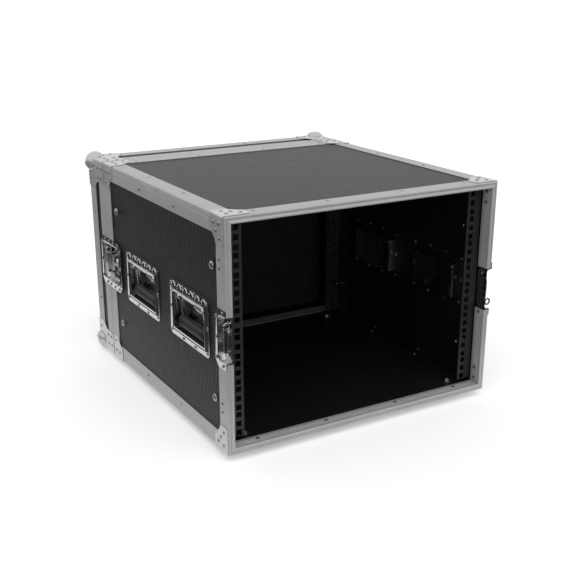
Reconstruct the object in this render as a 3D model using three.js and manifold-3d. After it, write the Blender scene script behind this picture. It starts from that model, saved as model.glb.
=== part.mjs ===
// Eight-unit equipment rack case: plywood shell in aluminium extrusions, rack rails front and
// rear, four recessed handles, recessed twist latches and a lift-off rear lid.
// Millimetres. X runs across the case, Y from the open front to the rear, Z up from the floor.
// The origin is under the middle of the case, on the floor.

import * as THREE from 'three';
import { mergeVertices } from 'three/addons/utils/BufferGeometryUtils.js';
import Module from 'manifold-3d';

const wasm = await Module();
wasm.setup();

// ---------- driving dimensions ----------

// Shell
const RACK_SIDE = 31.45; // rack hole centres to the outside of the case
const RACK_END = 17.2; // end of the rack space to the outside of the case
const BODY_DEPTH = 509; // front lip to the parting line
const LID_DEPTH = 80.5; // parting line to the rear face of the lid
const PARTING = 0.5; // gap between body and lid
const PLY = 9; // plywood thickness
const SEAT = 0.25; // clearance between touching pieces

// Extrusions
const ALU = 1; // extrusion wall
const FLANGE = 30; // width of every outer flange
const FRONT_INNER_FLANGE = 23; // depth of the flange inside the front opening
const JOINT_INNER_FLANGE = 16; // depth of the flange inside the rear joint
const EDGE_RADIUS = 2.5; // rounding of the long outside edges
const MITRE_GAP = 0.15; // half of the gap at each mitre
const TONGUE_LENGTH = 5; // joint tongue, body into lid
const TONGUE_WALL = 2.5;
const TONGUE_PLAY = 0.75; // clearance round the tongue

// Rack rails
const UNITS = 8; // rack height in units
const UNIT = 44.45;
const HOLE_STEPS = [6.35, 22.225, 38.1]; // hole heights within one unit
const HOLE_SPAN = 465.1; // hole centres, left rail to right rail
const HOLE_SIDE = 9.5; // square holes for cage nuts
const RAIL_WALL = 2;
const RAIL_LIP = 9.75; // hole centre to the free edge of the rail
const RAIL_DEPTH = 32; // depth of the leg that bolts to the side panel
const RAIL_SETBACK = 25.5; // front lip to the face of the front rails
const REAR_RAIL_SETBACK = 32.5; // parting line to the face of the rear rails
const RAIL_BOLT_INSET = 22.5; // rail face to its fixing bolts
const RAIL_BOLT_SPAN = 222; // height between the two bolts of a rail
const BOLT_RADIUS = 3;
const BOLT_HEAD_RADIUS = 6.75;
const BOLT_HEAD_HEIGHT = 3.2;
const NUT_RADIUS = 6;
const NUT_HEIGHT = 5;
const BOLT_TAIL = 6; // bolt end beyond its nut
const BOLT_PLAY = 0.5; // clearance round a bolt in the plywood

// Feet
const FOOT_HEIGHT = 13; // floor to the outside of the bottom extrusions
const FOOT_RADIUS = 15.5;
const FOOT_TAPER = 2;
const FOOT_BAND = 2; // straight band at the top of a foot
const FOOT_INSET_SIDE = 49; // outside of the case to the middle of a foot
const FOOT_INSET_FRONT = 46;
const FOOT_INSET_REAR = 46; // measured from the parting line
const WASHER_RADIUS = 11;
const WASHER = 1.5;
const FOOT_NUT_HEIGHT = 4;

// Recessed hardware, common
const SHEET = 1.2; // pressed steel
const CUT_PLAY = 0.5; // clearance round a recessed dish in the plywood

// Handles
const HANDLE_WIDTH = 152;
const HANDLE_HEIGHT = 101;
const HANDLE_CORNER = 9;
const FRONT_SHARE = 0.2; // of the spare room along a side, ahead of its front handle
const REAR_SHARE = 0.28; // behind its rear handle
const POCKET_WIDTH = 120;
const POCKET_TOP = 28; // above the middle of the handle
const POCKET_BOTTOM = 38; // below it
const POCKET_DEPTH = 20;
const GRIP_RADIUS = 8.5;
const GRIP_LENGTH = 104;
const BAIL_RADIUS = 3;
const BAIL_REACH = 47; // pivot to the middle of the grip
const BAIL_SPREAD = 46; // middle of the handle to each arm of the bail
const PIVOT_INSET = 5.5; // panel face to the hinge axis
const PIVOT_UP = 21; // middle of the handle to the hinge axis
const PIVOT_PLAY = 0.4;

// Latches
const LATCH_HEIGHT = 98;
const LATCH_CHAMFER = 11;
const LATCH_POCKET_HEIGHT = 74;
const LATCH_POCKET_DEPTH = 9;
const LATCH_BODY_WIDTH = 68; // dish on the body, parting line to its far edge
const LATCH_BODY_POCKET = 57;
const STRIKE_WIDTH = 38;
const STRIKE_POCKET = 27;
const CATCH_BACK = 4; // parting line to the catch
const CATCH_WALL = 2;
const CATCH_WIDTH = 35;
const CATCH_HEIGHT = 5; // above the floor of the pocket
const EYE_OFFSET = 24; // latch middle to the padlock eye
const EYE_RADIUS = 7;
const EYE_HOLE = 3.5;
const EYE_PROUD = 4.5; // eye beyond the side of the case
const EYE_BACK = 1.6;
const EYE_WALL = 2;
const ROTOR_BACK = 33; // parting line to the turning axis
const ROTOR_RADIUS = 13;
const ROTOR_PIN = 4;
const ROTOR_WALL = 3;
const ROTOR_PIN_PLAY = 0.5;
const HOOK_WALL = 1.2;
const HOOK_WIDTH = 32;
const HOOK_TAIL = 52; // parting line to the inner end of the hook
const HOOK_STEP = 10; // parting line to the step out to the arm
const HOOK_REACH = 9.5; // parting line to the nose, in the lid's half
const HOOK_NOSE = 1.5; // thickness of the nose
const HOOK_CLEAR = 0.9; // catch to the arm that passes over it
const NOSE_CLEAR = 0.4; // catch to the nose, which lets the open lid draw off
const HOOK_TRAVEL = 8;
const LATCH_GAP = 0.3; // running gap between the sliding sheets of the latch
const LUG_INSIDE = 10.5; // turning axis to the inner face of a lug
const LUG_WALL = 2.2;
const LUG_HALF = 2;
const LUG_RISE = 1.8; // wing axis to the top of a lug
const WING_PIN = 0.6;
const WING_PIN_PLAY = 0.3;
const WING_REACH = 20;
const WING_HALF = 15;
const WING_SHOULDER = [5.5, 13]; // the widest stretch, measured from the hinge
const WING_NECK = 9.5; // half width between the lugs
const WING_NECK_REACH = 3.4;
const WING_TIP = 9; // half width at the free end
const WING_WINDOW = 5; // radius of the finger hole
const WING_WINDOW_REACH = 10.5;
const WING_WALL = 1.6;
const KNUCKLE_RADIUS = 1.3;
const KNUCKLE_GAP = 0.2; // hinge barrel to the rotor

// Corner protectors
const BRACE_LEG = 46;
const BRACE_DEPTH = 44;
const BRACE_INSET = 3;
const BRACE_HEAD = 0.46; // wide part of a leg, as a share of its length
const BRACE_TAIL = 26; // width of the narrow part
const BALL_RADIUS = 20;
const BALL_PROUD = 10; // ball beyond each face of the lid
const LID_LEG = 42; // reach of the wide part of each leg
const LID_TAIL = 56; // reach of the narrow part, along the rear edge
const LID_TAIL_WIDTH = 28;
const LID_STEP_DEPTH = 44; // depth of the slope between the two
const LID_CHAMFER = 11;

// Lid lining
const FOAM = 20;
const FOAM_GAP = 0.9; // foam to the walls of the lid

// ---------- derived places ----------

const RAIL_HEIGHT = UNITS * UNIT;
const HALF_W = HOLE_SPAN / 2 + RACK_SIDE;
const HALF_H = RAIL_HEIGHT / 2 + RACK_END;
const SKIN = ALU + SEAT; // outside of the case to the plywood
const LIP = 2 * SKIN + PLY; // depth of an extrusion's end lip
const INNER_FACE = SKIN + PLY; // outside of the case to the inside of the plywood
const LID_START = BODY_DEPTH + PARTING;
const LID_END = LID_START + LID_DEPTH;
const OVERALL_DEPTH = LID_END + BALL_PROUD;
const CUT_HALF = LATCH_POCKET_HEIGHT / 2 + SHEET + CUT_PLAY; // half height of a latch cut-out

// ---------- materials ----------

const standard = (color, roughness, metalness) =>
  new THREE.MeshStandardMaterial({ color, roughness, metalness });
const LAMINATE = standard(0x303134, 0.55, 0);
const ALUMINIUM = standard(0xb4b6b8, 0.35, 1);
const CHROME = standard(0xd2d4d6, 0.18, 1);
const BLACK_STEEL = standard(0x1d1d1f, 0.5, 0.2);
const RUBBER = standard(0x18181a, 0.8, 0);
const FOAM_BLACK = standard(0x151516, 0.95, 0);

// ---------- solids ----------

// A closed three.js geometry as a solid that can be joined and cut.
function solid(geometry) {
  const bare = geometry.index ? geometry.toNonIndexed() : geometry.clone();
  bare.deleteAttribute('normal');
  bare.deleteAttribute('uv');
  const merged = mergeVertices(bare, 1e-4);
  return new wasm.Manifold(new wasm.Mesh({
    numProp: 3,
    vertProperties: Float32Array.from(merged.attributes.position.array),
    triVerts: Uint32Array.from(merged.index.array),
  }));
}

// A box from its limits along x, y and z.
function block(x, y, z) {
  const geometry = new THREE.BoxGeometry(x[1] - x[0], y[1] - y[0], z[1] - z[0]);
  geometry.translate((x[0] + x[1]) / 2, (y[0] + y[1]) / 2, (z[0] + z[1]) / 2);
  return solid(geometry);
}

const TURN = {
  x: new THREE.Matrix4().makeRotationZ(-Math.PI / 2),
  y: new THREE.Matrix4(),
  z: new THREE.Matrix4().makeRotationX(Math.PI / 2),
};

// A round or polygonal rod along an axis, from one end to the other.
function rod(axis, radius, ends, centre, sides = 16) {
  const geometry = new THREE.CylinderGeometry(radius, radius, ends[1] - ends[0], sides);
  geometry.applyMatrix4(TURN[axis]);
  const middle = (ends[0] + ends[1]) / 2;
  const spot = {
    x: [middle, centre[0], centre[1]],
    y: [centre[0], middle, centre[1]],
    z: [centre[0], centre[1], middle],
  };
  geometry.translate(...spot[axis]);
  return solid(geometry);
}

// A straight round bar between two points.
function bar(from, to, radius, sides = 10) {
  const start = new THREE.Vector3(...from);
  const run = new THREE.Vector3(...to).sub(start);
  const geometry = new THREE.CylinderGeometry(radius, radius, run.length(), sides);
  geometry.translate(0, run.length() / 2, 0);
  const up = new THREE.Vector3(0, 1, 0);
  geometry.applyQuaternion(new THREE.Quaternion().setFromUnitVectors(up, run.normalize()));
  geometry.translate(...from);
  return solid(geometry);
}

// A flat shape drawn in (u, v), given thickness between two limits along the third axis.
function plate(shape, limits, axes, segments = 6) {
  const geometry = new THREE.ExtrudeGeometry(shape, {
    depth: limits[1] - limits[0],
    bevelEnabled: false,
    curveSegments: segments,
  });
  const X = new THREE.Vector3(1, 0, 0);
  const Y = new THREE.Vector3(0, 1, 0);
  const Z = new THREE.Vector3(0, 0, 1);
  if (axes === 'yz') {
    geometry.applyMatrix4(new THREE.Matrix4().makeBasis(Y, Z, X));
    geometry.translate(limits[0], 0, 0);
  } else if (axes === 'xz') {
    geometry.applyMatrix4(new THREE.Matrix4().makeBasis(X, Z, Y.clone().negate()));
    geometry.translate(0, limits[1], 0);
  } else {
    geometry.translate(0, 0, limits[0]);
  }
  return geometry;
}

const slab = (...plan) => solid(plate(...plan));

const join = (first, ...rest) => rest.reduce((sum, next) => sum.add(next), first);
const cut = (first, ...rest) => rest.reduce((left, next) => left.subtract(next), first);

// The same solid seen in a mirror across the middle of the case.
function mirrored(body) {
  const source = body.getMesh();
  const position = Float32Array.from(source.vertProperties, (v, i) => (i % 3 ? v : -v));
  const index = Uint32Array.from(source.triVerts);
  for (let i = 0; i < index.length; i += 3) {
    [index[i + 1], index[i + 2]] = [index[i + 2], index[i + 1]];
  }
  return new wasm.Manifold(new wasm.Mesh({
    numProp: 3, vertProperties: position, triVerts: index,
  }));
}

function polygon(points) {
  return new THREE.Shape(points.map(([u, v]) => new THREE.Vector2(u, v)));
}

// A rectangle given by its limits, with rounded corners.
function roundedRectangle(u, v, radius) {
  const shape = new THREE.Shape();
  const quarter = Math.PI / 2;
  shape.moveTo(u[0] + radius, v[0]);
  shape.lineTo(u[1] - radius, v[0]);
  shape.absarc(u[1] - radius, v[0] + radius, radius, -quarter, 0, false);
  shape.lineTo(u[1], v[1] - radius);
  shape.absarc(u[1] - radius, v[1] - radius, radius, 0, quarter, false);
  shape.lineTo(u[0] + radius, v[1]);
  shape.absarc(u[0] + radius, v[1] - radius, radius, quarter, 2 * quarter, false);
  shape.lineTo(u[0], v[0] + radius);
  shape.absarc(u[0] + radius, v[0] + radius, radius, 2 * quarter, 3 * quarter, false);
  return shape;
}

// A frame round the whole case, between two depths measured inwards from its outside.
function ring(depths, y) {
  const half = (depth) => [HALF_W - depth, HALF_H - depth];
  const [outW, outH] = half(depths[0]);
  const [inW, inH] = half(depths[1]);
  const radius = EDGE_RADIUS - depths[0];
  const outer = radius > 0
    ? roundedRectangle([-outW, outW], [-outH, outH], radius)
    : polygon([[-outW, -outH], [outW, -outH], [outW, outH], [-outW, outH]]);
  outer.holes.push(polygon([[-inW, -inH], [-inW, inH], [inW, inH], [inW, -inH]]));
  return slab(outer, y, 'xz', 4);
}

// ---------- assembly ----------

const assembly = new THREE.Group();
assembly.position.set(0, -OVERALL_DEPTH / 2, FOOT_HEIGHT + HALF_H);

function place(name, body, material, position = [0, 0, 0], rotation = [0, 0, 0]) {
  const source = body.getMesh();
  const geometry = new THREE.BufferGeometry();
  geometry.setAttribute('position', new THREE.BufferAttribute(source.vertProperties, 3));
  geometry.setIndex(new THREE.BufferAttribute(source.triVerts, 1));
  geometry.computeVertexNormals();
  const mesh = new THREE.Mesh(geometry, material);
  mesh.name = name;
  mesh.position.set(...position);
  mesh.rotation.set(...rotation);
  assembly.add(mesh);
}

// The four long edges, as turns about Y of the top right one.
const CORNERS = [
  { name: 'top_right', x: HALF_W, z: HALF_H, turn: 0 },
  { name: 'bottom_right', x: HALF_W, z: -HALF_H, turn: Math.PI / 2 },
  { name: 'bottom_left', x: -HALF_W, z: -HALF_H, turn: Math.PI },
  { name: 'top_left', x: -HALF_W, z: HALF_H, turn: -Math.PI / 2 },
];
const SIDES = [
  { name: 'right', sign: 1, turn: 0 },
  { name: 'left', sign: -1, turn: Math.PI },
];

// ---------- plywood shell ----------

const PANEL_Y = [ALU + SEAT, BODY_DEPTH - ALU - SEAT];
const RAIL_ENDS = [RAIL_SETBACK + RAIL_DEPTH, REAR_RAIL_SETBACK + RAIL_DEPTH];

// The handles of a side lie between the strike and the latch, with their pockets clear of the
// legs of the rack rails.
const POCKET_BORDER = (HANDLE_WIDTH - POCKET_WIDTH) / 2 - SHEET - CUT_PLAY;
const HANDLE_START = Math.max(STRIKE_WIDTH, RAIL_ENDS[0] - POCKET_BORDER);
const HANDLE_END = BODY_DEPTH - Math.max(LATCH_BODY_WIDTH, RAIL_ENDS[1] - POCKET_BORDER);
const SPARE_ROOM = HANDLE_END - HANDLE_START - 2 * HANDLE_WIDTH;
const HANDLE_YS = {
  front: HANDLE_START + SPARE_ROOM * FRONT_SHARE + HANDLE_WIDTH / 2,
  rear: HANDLE_END - SPARE_ROOM * REAR_SHARE - HANDLE_WIDTH / 2,
};
const REAR_RAIL_FACE = BODY_DEPTH - REAR_RAIL_SETBACK;
const RAIL_BOLT_YS = [RAIL_SETBACK + RAIL_BOLT_INSET, REAR_RAIL_FACE - RAIL_BOLT_INSET];
const FOOT_X = HALF_W - FOOT_INSET_SIDE;
const FOOT_YS = { front: FOOT_INSET_FRONT, rear: BODY_DEPTH - FOOT_INSET_REAR };

function flatPanel() {
  const outside = HALF_W - SKIN;
  return block([-outside, outside], PANEL_Y, [HALF_H - INNER_FACE, HALF_H - SKIN]);
}

function bottomPanel() {
  const holes = [];
  for (const x of [-FOOT_X, FOOT_X]) {
    for (const y of Object.values(FOOT_YS)) {
      holes.push(rod('z', BOLT_RADIUS + BOLT_PLAY, [0, HALF_H], [x, y], 12));
    }
  }
  return cut(flatPanel(), ...holes);
}

// The right side panel; the left one is the same piece turned over.
function sidePanel() {
  const faces = [HALF_W - INNER_FACE, HALF_W - SKIN];
  const through = [faces[0] - 1, HALF_W];
  const top = HALF_H - INNER_FACE - SEAT;
  const cuts = [];
  for (const y of Object.values(HANDLE_YS)) {
    const wall = SHEET + CUT_PLAY;
    const half = POCKET_WIDTH / 2 + wall;
    cuts.push(block(through, [y - half, y + half],
      [-POCKET_BOTTOM - wall, POCKET_TOP + wall]));
  }
  const strikeEnd = STRIKE_POCKET + SHEET + CUT_PLAY;
  const dishStart = BODY_DEPTH - LATCH_BODY_POCKET - SHEET - CUT_PLAY;
  cuts.push(block(through, [0, strikeEnd], [-CUT_HALF, CUT_HALF]));
  cuts.push(block(through, [dishStart, BODY_DEPTH], [-CUT_HALF, CUT_HALF]));
  for (const y of RAIL_BOLT_YS) {
    for (const z of [-RAIL_BOLT_SPAN / 2, RAIL_BOLT_SPAN / 2]) {
      cuts.push(rod('x', BOLT_RADIUS + BOLT_PLAY, through, [y, z], 12));
    }
  }
  return cut(block(faces, PANEL_Y, [-top, top]), ...cuts);
}

place('top_panel', flatPanel(), LAMINATE);
place('bottom_panel', bottomPanel(), LAMINATE, [0, 0, 0], [0, Math.PI, 0]);
place('right_panel', sidePanel(), LAMINATE);
place('left_panel', mirrored(sidePanel()), LAMINATE);

// ---------- long edge angles ----------

function edgeAngle() {
  const shape = new THREE.Shape();
  shape.moveTo(-FLANGE, -ALU);
  shape.lineTo(-ALU, -ALU);
  shape.lineTo(-ALU, -FLANGE);
  shape.lineTo(0, -FLANGE);
  shape.lineTo(0, -EDGE_RADIUS);
  shape.absarc(-EDGE_RADIUS, -EDGE_RADIUS, EDGE_RADIUS, 0, Math.PI / 2, false);
  shape.lineTo(-FLANGE, 0);
  return slab(shape, [FLANGE + SEAT, BODY_DEPTH - FLANGE - SEAT], 'xz', 4);
}

for (const { name, x, z, turn } of CORNERS) {
  place(`edge_angle_${name}`, edgeAngle(), ALUMINIUM, [x, 0, z], [0, turn, 0]);
}

// ---------- front opening frame ----------

// A trapezium that keeps one side of a frame up to its mitres.
function mitreWedge(side, y) {
  const reach = FLANGE * 2;
  const far = side === 'top' || side === 'bottom' ? HALF_W : HALF_H;
  const near = side === 'top' || side === 'bottom' ? HALF_H : HALF_W;
  const trim = MITRE_GAP * Math.SQRT2;
  const outer = far + 1 - trim;
  const inner = far - reach - trim;
  const shape = polygon([[-inner, near - reach], [inner, near - reach],
    [outer, near + 1], [-outer, near + 1]]);
  const wedge = plate(shape, y, 'xz');
  const turns = { top: 0, right: 1, bottom: 2, left: 3 };
  wedge.rotateY((Math.PI / 2) * turns[side]);
  return solid(wedge);
}

function frontFrame() {
  return join(
    ring([0, ALU], [0, FLANGE]),
    ring([0, LIP], [0, ALU]),
    ring([LIP - ALU, LIP], [0, FRONT_INNER_FLANGE]),
  );
}

{
  const y = [-1, FLANGE + 1];
  const whole = frontFrame();
  place('front_frame_top', whole.intersect(mitreWedge('top', y)), ALUMINIUM);
  place('front_frame_bottom', whole.intersect(mitreWedge('bottom', y)), ALUMINIUM);
  for (const { name, sign } of SIDES) {
    const side = whole.intersect(mitreWedge(name, y));
    const across = sign > 0 ? [0, HALF_W + 1] : [-HALF_W - 1, 0];
    const upper = side.intersect(block(across, y, [CUT_HALF, HALF_H + 1]));
    const lower = side.intersect(block(across, y, [-HALF_H - 1, -CUT_HALF]));
    place(`front_frame_${name}_upper`, upper, ALUMINIUM);
    place(`front_frame_${name}_lower`, lower, ALUMINIUM);
  }
}

// ---------- rear joint of the body ----------

const TONGUE = [(LIP - TONGUE_WALL) / 2, (LIP + TONGUE_WALL) / 2];

// Removes the outer wall and lip at both latches, and leaves the inner flange whole.
function clearLatches(frame, y) {
  const inside = HALF_W - LIP + ALU;
  const half = [-CUT_HALF, CUT_HALF];
  return cut(frame,
    block([inside, HALF_W + 1], y, half),
    block([-HALF_W - 1, -inside], y, half));
}

function bodyJointFrame() {
  const frame = join(
    ring([0, ALU], [BODY_DEPTH - FLANGE, BODY_DEPTH]),
    ring([0, LIP], [BODY_DEPTH - ALU, BODY_DEPTH]),
    ring([LIP - ALU, LIP], [BODY_DEPTH - JOINT_INNER_FLANGE, BODY_DEPTH]),
    ring(TONGUE, [BODY_DEPTH - ALU, BODY_DEPTH + TONGUE_LENGTH]),
  );
  return clearLatches(frame, [BODY_DEPTH - FLANGE - 1, BODY_DEPTH + TONGUE_LENGTH + 1]);
}

place('body_joint_frame', bodyJointFrame(), ALUMINIUM);

// ---------- corner braces of the body ----------

// Local origin on the outside edge. Both legs are drawn as depth from the lip against
// distance from the edge: a wide head, and a narrow tail along the frame.
function cornerBrace(direction) {
  const sheet = [SEAT, SEAT + SHEET];
  const head = BRACE_LEG * BRACE_HEAD;
  const shoulder = head + BRACE_DEPTH - BRACE_TAIL;
  const outline = [[0, 0], [BRACE_DEPTH, 0], [BRACE_DEPTH, head], [BRACE_TAIL, shoulder],
    [BRACE_TAIL, BRACE_LEG], [0, BRACE_LEG]];
  const sidePoints = outline.map(([depth, leg]) => [depth * direction, -leg]);
  const topPoints = outline.map(([depth, leg]) => [-leg, depth * direction]);
  const y = direction > 0 ? [0, BRACE_DEPTH] : [-BRACE_DEPTH, 0];
  const edge = block([-ALU, sheet[1]], y, [-ALU, sheet[1]]);
  const inside = block([-FLANGE, sheet[0]], [y[0] - 1, y[1] + 1], [-FLANGE, sheet[0]]);
  return join(slab(polygon(sidePoints), sheet, 'yz'), slab(polygon(topPoints), sheet, 'xy'),
    cut(edge, inside));
}

for (const { name, x, z, turn } of CORNERS) {
  const spot = [x, BRACE_INSET, z];
  const rearSpot = [x, BODY_DEPTH - BRACE_INSET, z];
  place(`corner_brace_front_${name}`, cornerBrace(1), CHROME, spot, [0, turn, 0]);
  place(`corner_brace_rear_${name}`, cornerBrace(-1), CHROME, rearSpot, [0, turn, 0]);
}

// ---------- rack rails ----------

// The right front rail with its two fixing bolts; local y = 0 is the face that equipment
// is screwed to.
function rackRail() {
  const wall = HALF_W - INNER_FACE - SEAT;
  const edge = HOLE_SPAN / 2 - RAIL_LIP;
  const half = RAIL_HEIGHT / 2;
  const profile = polygon([[edge, 0], [wall, 0], [wall, RAIL_DEPTH],
    [wall - RAIL_WALL, RAIL_DEPTH], [wall - RAIL_WALL, RAIL_WALL], [edge, RAIL_WALL]]);
  const angle = slab(profile, [-half, half], 'xy');
  const holes = [];
  for (let unit = 0; unit < UNITS; unit += 1) {
    for (const step of HOLE_STEPS) {
      const z = -half + unit * UNIT + step;
      const x = HOLE_SPAN / 2;
      const side = HOLE_SIDE / 2;
      holes.push(block([x - side, x + side], [-1, RAIL_WALL + 1], [z - side, z + side]));
    }
  }
  const bolts = [];
  const nutEnd = wall - RAIL_WALL - NUT_HEIGHT;
  const headStart = HALF_W - SKIN + SEAT;
  for (const z of [-RAIL_BOLT_SPAN / 2, RAIL_BOLT_SPAN / 2]) {
    const centre = [RAIL_BOLT_INSET, z];
    bolts.push(rod('x', BOLT_RADIUS, [nutEnd - BOLT_TAIL, headStart + 1], centre, 10));
    bolts.push(rod('x', NUT_RADIUS, [nutEnd, wall - RAIL_WALL / 2], centre, 6));
    bolts.push(boltHead(headStart, centre));
  }
  return join(cut(angle, ...holes), ...bolts);
}

// A domed head standing outwards along +X from its seat.
function boltHead(seat, centre) {
  const profile = [new THREE.Vector2(0, 0), new THREE.Vector2(BOLT_HEAD_RADIUS, 0),
    new THREE.Vector2(BOLT_HEAD_RADIUS * 0.8, BOLT_HEAD_HEIGHT * 0.65),
    new THREE.Vector2(0, BOLT_HEAD_HEIGHT)];
  const geometry = new THREE.LatheGeometry(profile, 12);
  geometry.applyMatrix4(TURN.x);
  geometry.translate(seat, centre[0], centre[1]);
  return solid(geometry);
}

const FRONT_RAIL = [0, RAIL_SETBACK, 0];
const REAR_RAIL = [0, REAR_RAIL_FACE, 0];
place('rack_rail_front_right', rackRail(), BLACK_STEEL, FRONT_RAIL);
place('rack_rail_front_left', rackRail(), BLACK_STEEL, FRONT_RAIL, [0, Math.PI, 0]);
place('rack_rail_rear_right', rackRail(), BLACK_STEEL, REAR_RAIL, [Math.PI, 0, 0]);
place('rack_rail_rear_left', rackRail(), BLACK_STEEL, REAR_RAIL, [0, 0, Math.PI]);

// ---------- feet ----------

// Local origin on the outside of the bottom extrusions; the foot hangs below it.
function foot() {
  const top = SKIN - SEAT;
  const profile = [new THREE.Vector2(0, -FOOT_HEIGHT),
    new THREE.Vector2(FOOT_RADIUS - FOOT_TAPER, -FOOT_HEIGHT),
    new THREE.Vector2(FOOT_RADIUS, top - FOOT_BAND), new THREE.Vector2(FOOT_RADIUS, top),
    new THREE.Vector2(0, top)];
  const pad = new THREE.LatheGeometry(profile, 24);
  pad.applyMatrix4(TURN.z);
  const inside = INNER_FACE + SEAT;
  const nutTop = inside + WASHER + FOOT_NUT_HEIGHT;
  return join(solid(pad),
    rod('z', BOLT_RADIUS, [top - 1, nutTop], [0, 0], 10),
    rod('z', WASHER_RADIUS, [inside, inside + WASHER], [0, 0], 16),
    rod('z', NUT_RADIUS, [inside + WASHER / 2, nutTop], [0, 0], 6));
}

for (const { name, sign } of SIDES) {
  for (const [end, y] of Object.entries(FOOT_YS)) {
    place(`foot_${end}_${name}`, foot(), RUBBER, [sign * FOOT_X, y, -HALF_H]);
  }
}

// ---------- recessed handles ----------

// Local origin on the outer face of the side panel, in the middle of the handle; +X is out.
function handleDish() {
  const out = [SEAT, SEAT + SHEET];
  const half = POCKET_WIDTH / 2;
  const cover = slab(roundedRectangle([-HANDLE_WIDTH / 2, HANDLE_WIDTH / 2],
    [-HANDLE_HEIGHT / 2, HANDLE_HEIGHT / 2], HANDLE_CORNER), out, 'yz', 4);
  const pan = block([-POCKET_DEPTH - SHEET, out[1]], [-half - SHEET, half + SHEET],
    [-POCKET_BOTTOM - SHEET, POCKET_TOP + SHEET]);
  const hollow = block([-POCKET_DEPTH, out[1] + 1], [-half, half],
    [-POCKET_BOTTOM, POCKET_TOP]);
  const bearings = rod('y', BAIL_RADIUS + PIVOT_PLAY, [-half - SHEET - 1, half + SHEET + 1],
    [-PIVOT_INSET, PIVOT_UP], 16);
  return cut(join(cover, pan), hollow, bearings);
}

// The swinging bail and its grip, hanging down in the dish.
function handleGrip() {
  const pin = POCKET_WIDTH / 2 + SHEET / 2;
  const pivot = [-PIVOT_INSET, PIVOT_UP];
  const gripX = -POCKET_DEPTH / 2;
  const gripZ = PIVOT_UP - BAIL_REACH;
  const sleeve = rod('y', GRIP_RADIUS, [-GRIP_LENGTH / 2, GRIP_LENGTH / 2], [gripX, gripZ], 16);
  const axle = rod('y', BAIL_RADIUS, [-pin, pin], pivot, 16);
  const arms = [-1, 1].map((side) => bar([pivot[0], side * BAIL_SPREAD, pivot[1]],
    [gripX, side * BAIL_SPREAD, gripZ], BAIL_RADIUS));
  return join(axle, sleeve, ...arms);
}

for (const { name, sign } of SIDES) {
  for (const [end, y] of Object.entries(HANDLE_YS)) {
    const spot = [sign * (HALF_W - SKIN), y, 0];
    const dish = sign > 0 ? handleDish() : mirrored(handleDish());
    const grip = sign > 0 ? handleGrip() : mirrored(handleGrip());
    place(`handle_dish_${end}_${name}`, dish, CHROME, spot);
    place(`handle_grip_${end}_${name}`, grip, BLACK_STEEL, spot);
  }
}

// ---------- recessed latches ----------

// Local origin on the side of the case at the parting line, in the middle of the latch;
// +X is out and +Y runs into the half that carries the strike.

function latchPlate(y, far) {
  const half = LATCH_HEIGHT / 2;
  const step = LATCH_CHAMFER;
  const inward = far > 0 ? far - step : far + step;
  const points = [[y, -half], [inward, -half], [far, -half + step], [far, half - step],
    [inward, half], [y, half]];
  return slab(polygon(points), [SEAT, SEAT + SHEET], 'yz');
}

// A half dish, open at the parting line.
function halfDish(y, far, pocketEnd) {
  const half = LATCH_POCKET_HEIGHT / 2;
  const direction = Math.sign(far);
  const limits = (a, b) => (a < b ? [a, b] : [b, a]);
  const pan = block([-LATCH_POCKET_DEPTH - SHEET, SEAT + SHEET],
    limits(y, pocketEnd + direction * SHEET), [-half - SHEET, half + SHEET]);
  const hollow = block([-LATCH_POCKET_DEPTH, SEAT + SHEET + 1],
    limits(y - direction * 2, pocketEnd), [-half, half]);
  return cut(join(latchPlate(y, far), pan), hollow);
}

function padlockEye() {
  const centre = EYE_PROUD - EYE_RADIUS;
  const shape = new THREE.Shape();
  shape.moveTo(-LATCH_POCKET_DEPTH - SHEET / 2, -EYE_OFFSET - EYE_RADIUS);
  shape.lineTo(centre, -EYE_OFFSET - EYE_RADIUS);
  shape.absarc(centre, -EYE_OFFSET, EYE_RADIUS, -Math.PI / 2, Math.PI / 2, false);
  shape.lineTo(-LATCH_POCKET_DEPTH - SHEET / 2, -EYE_OFFSET + EYE_RADIUS);
  const hole = new THREE.Path();
  hole.absarc(centre, -EYE_OFFSET, EYE_HOLE, 0, Math.PI * 2, true);
  shape.holes.push(hole);
  return slab(shape, [EYE_BACK, EYE_BACK + EYE_WALL], 'xz', 6);
}

// The half with the catch that the hook draws on, and the padlock eye.
function strike() {
  const floor = -LATCH_POCKET_DEPTH;
  const half = CATCH_WIDTH / 2;
  const rise = block([floor - SHEET / 2, floor + CATCH_HEIGHT],
    [CATCH_BACK, CATCH_BACK + CATCH_WALL], [-half, half]);
  return join(halfDish(PARTING, STRIKE_WIDTH, STRIKE_POCKET), rise, padlockEye());
}

const HOOK_FLOOR = -LATCH_POCKET_DEPTH + LATCH_GAP;
const HOOK_X = [HOOK_FLOOR, HOOK_FLOOR + HOOK_WALL];
const ROTOR_X = [HOOK_X[1] + LATCH_GAP, HOOK_X[1] + LATCH_GAP + ROTOR_WALL];
const WING_AXIS_X = ROTOR_X[1] + KNUCKLE_RADIUS + KNUCKLE_GAP;

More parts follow.
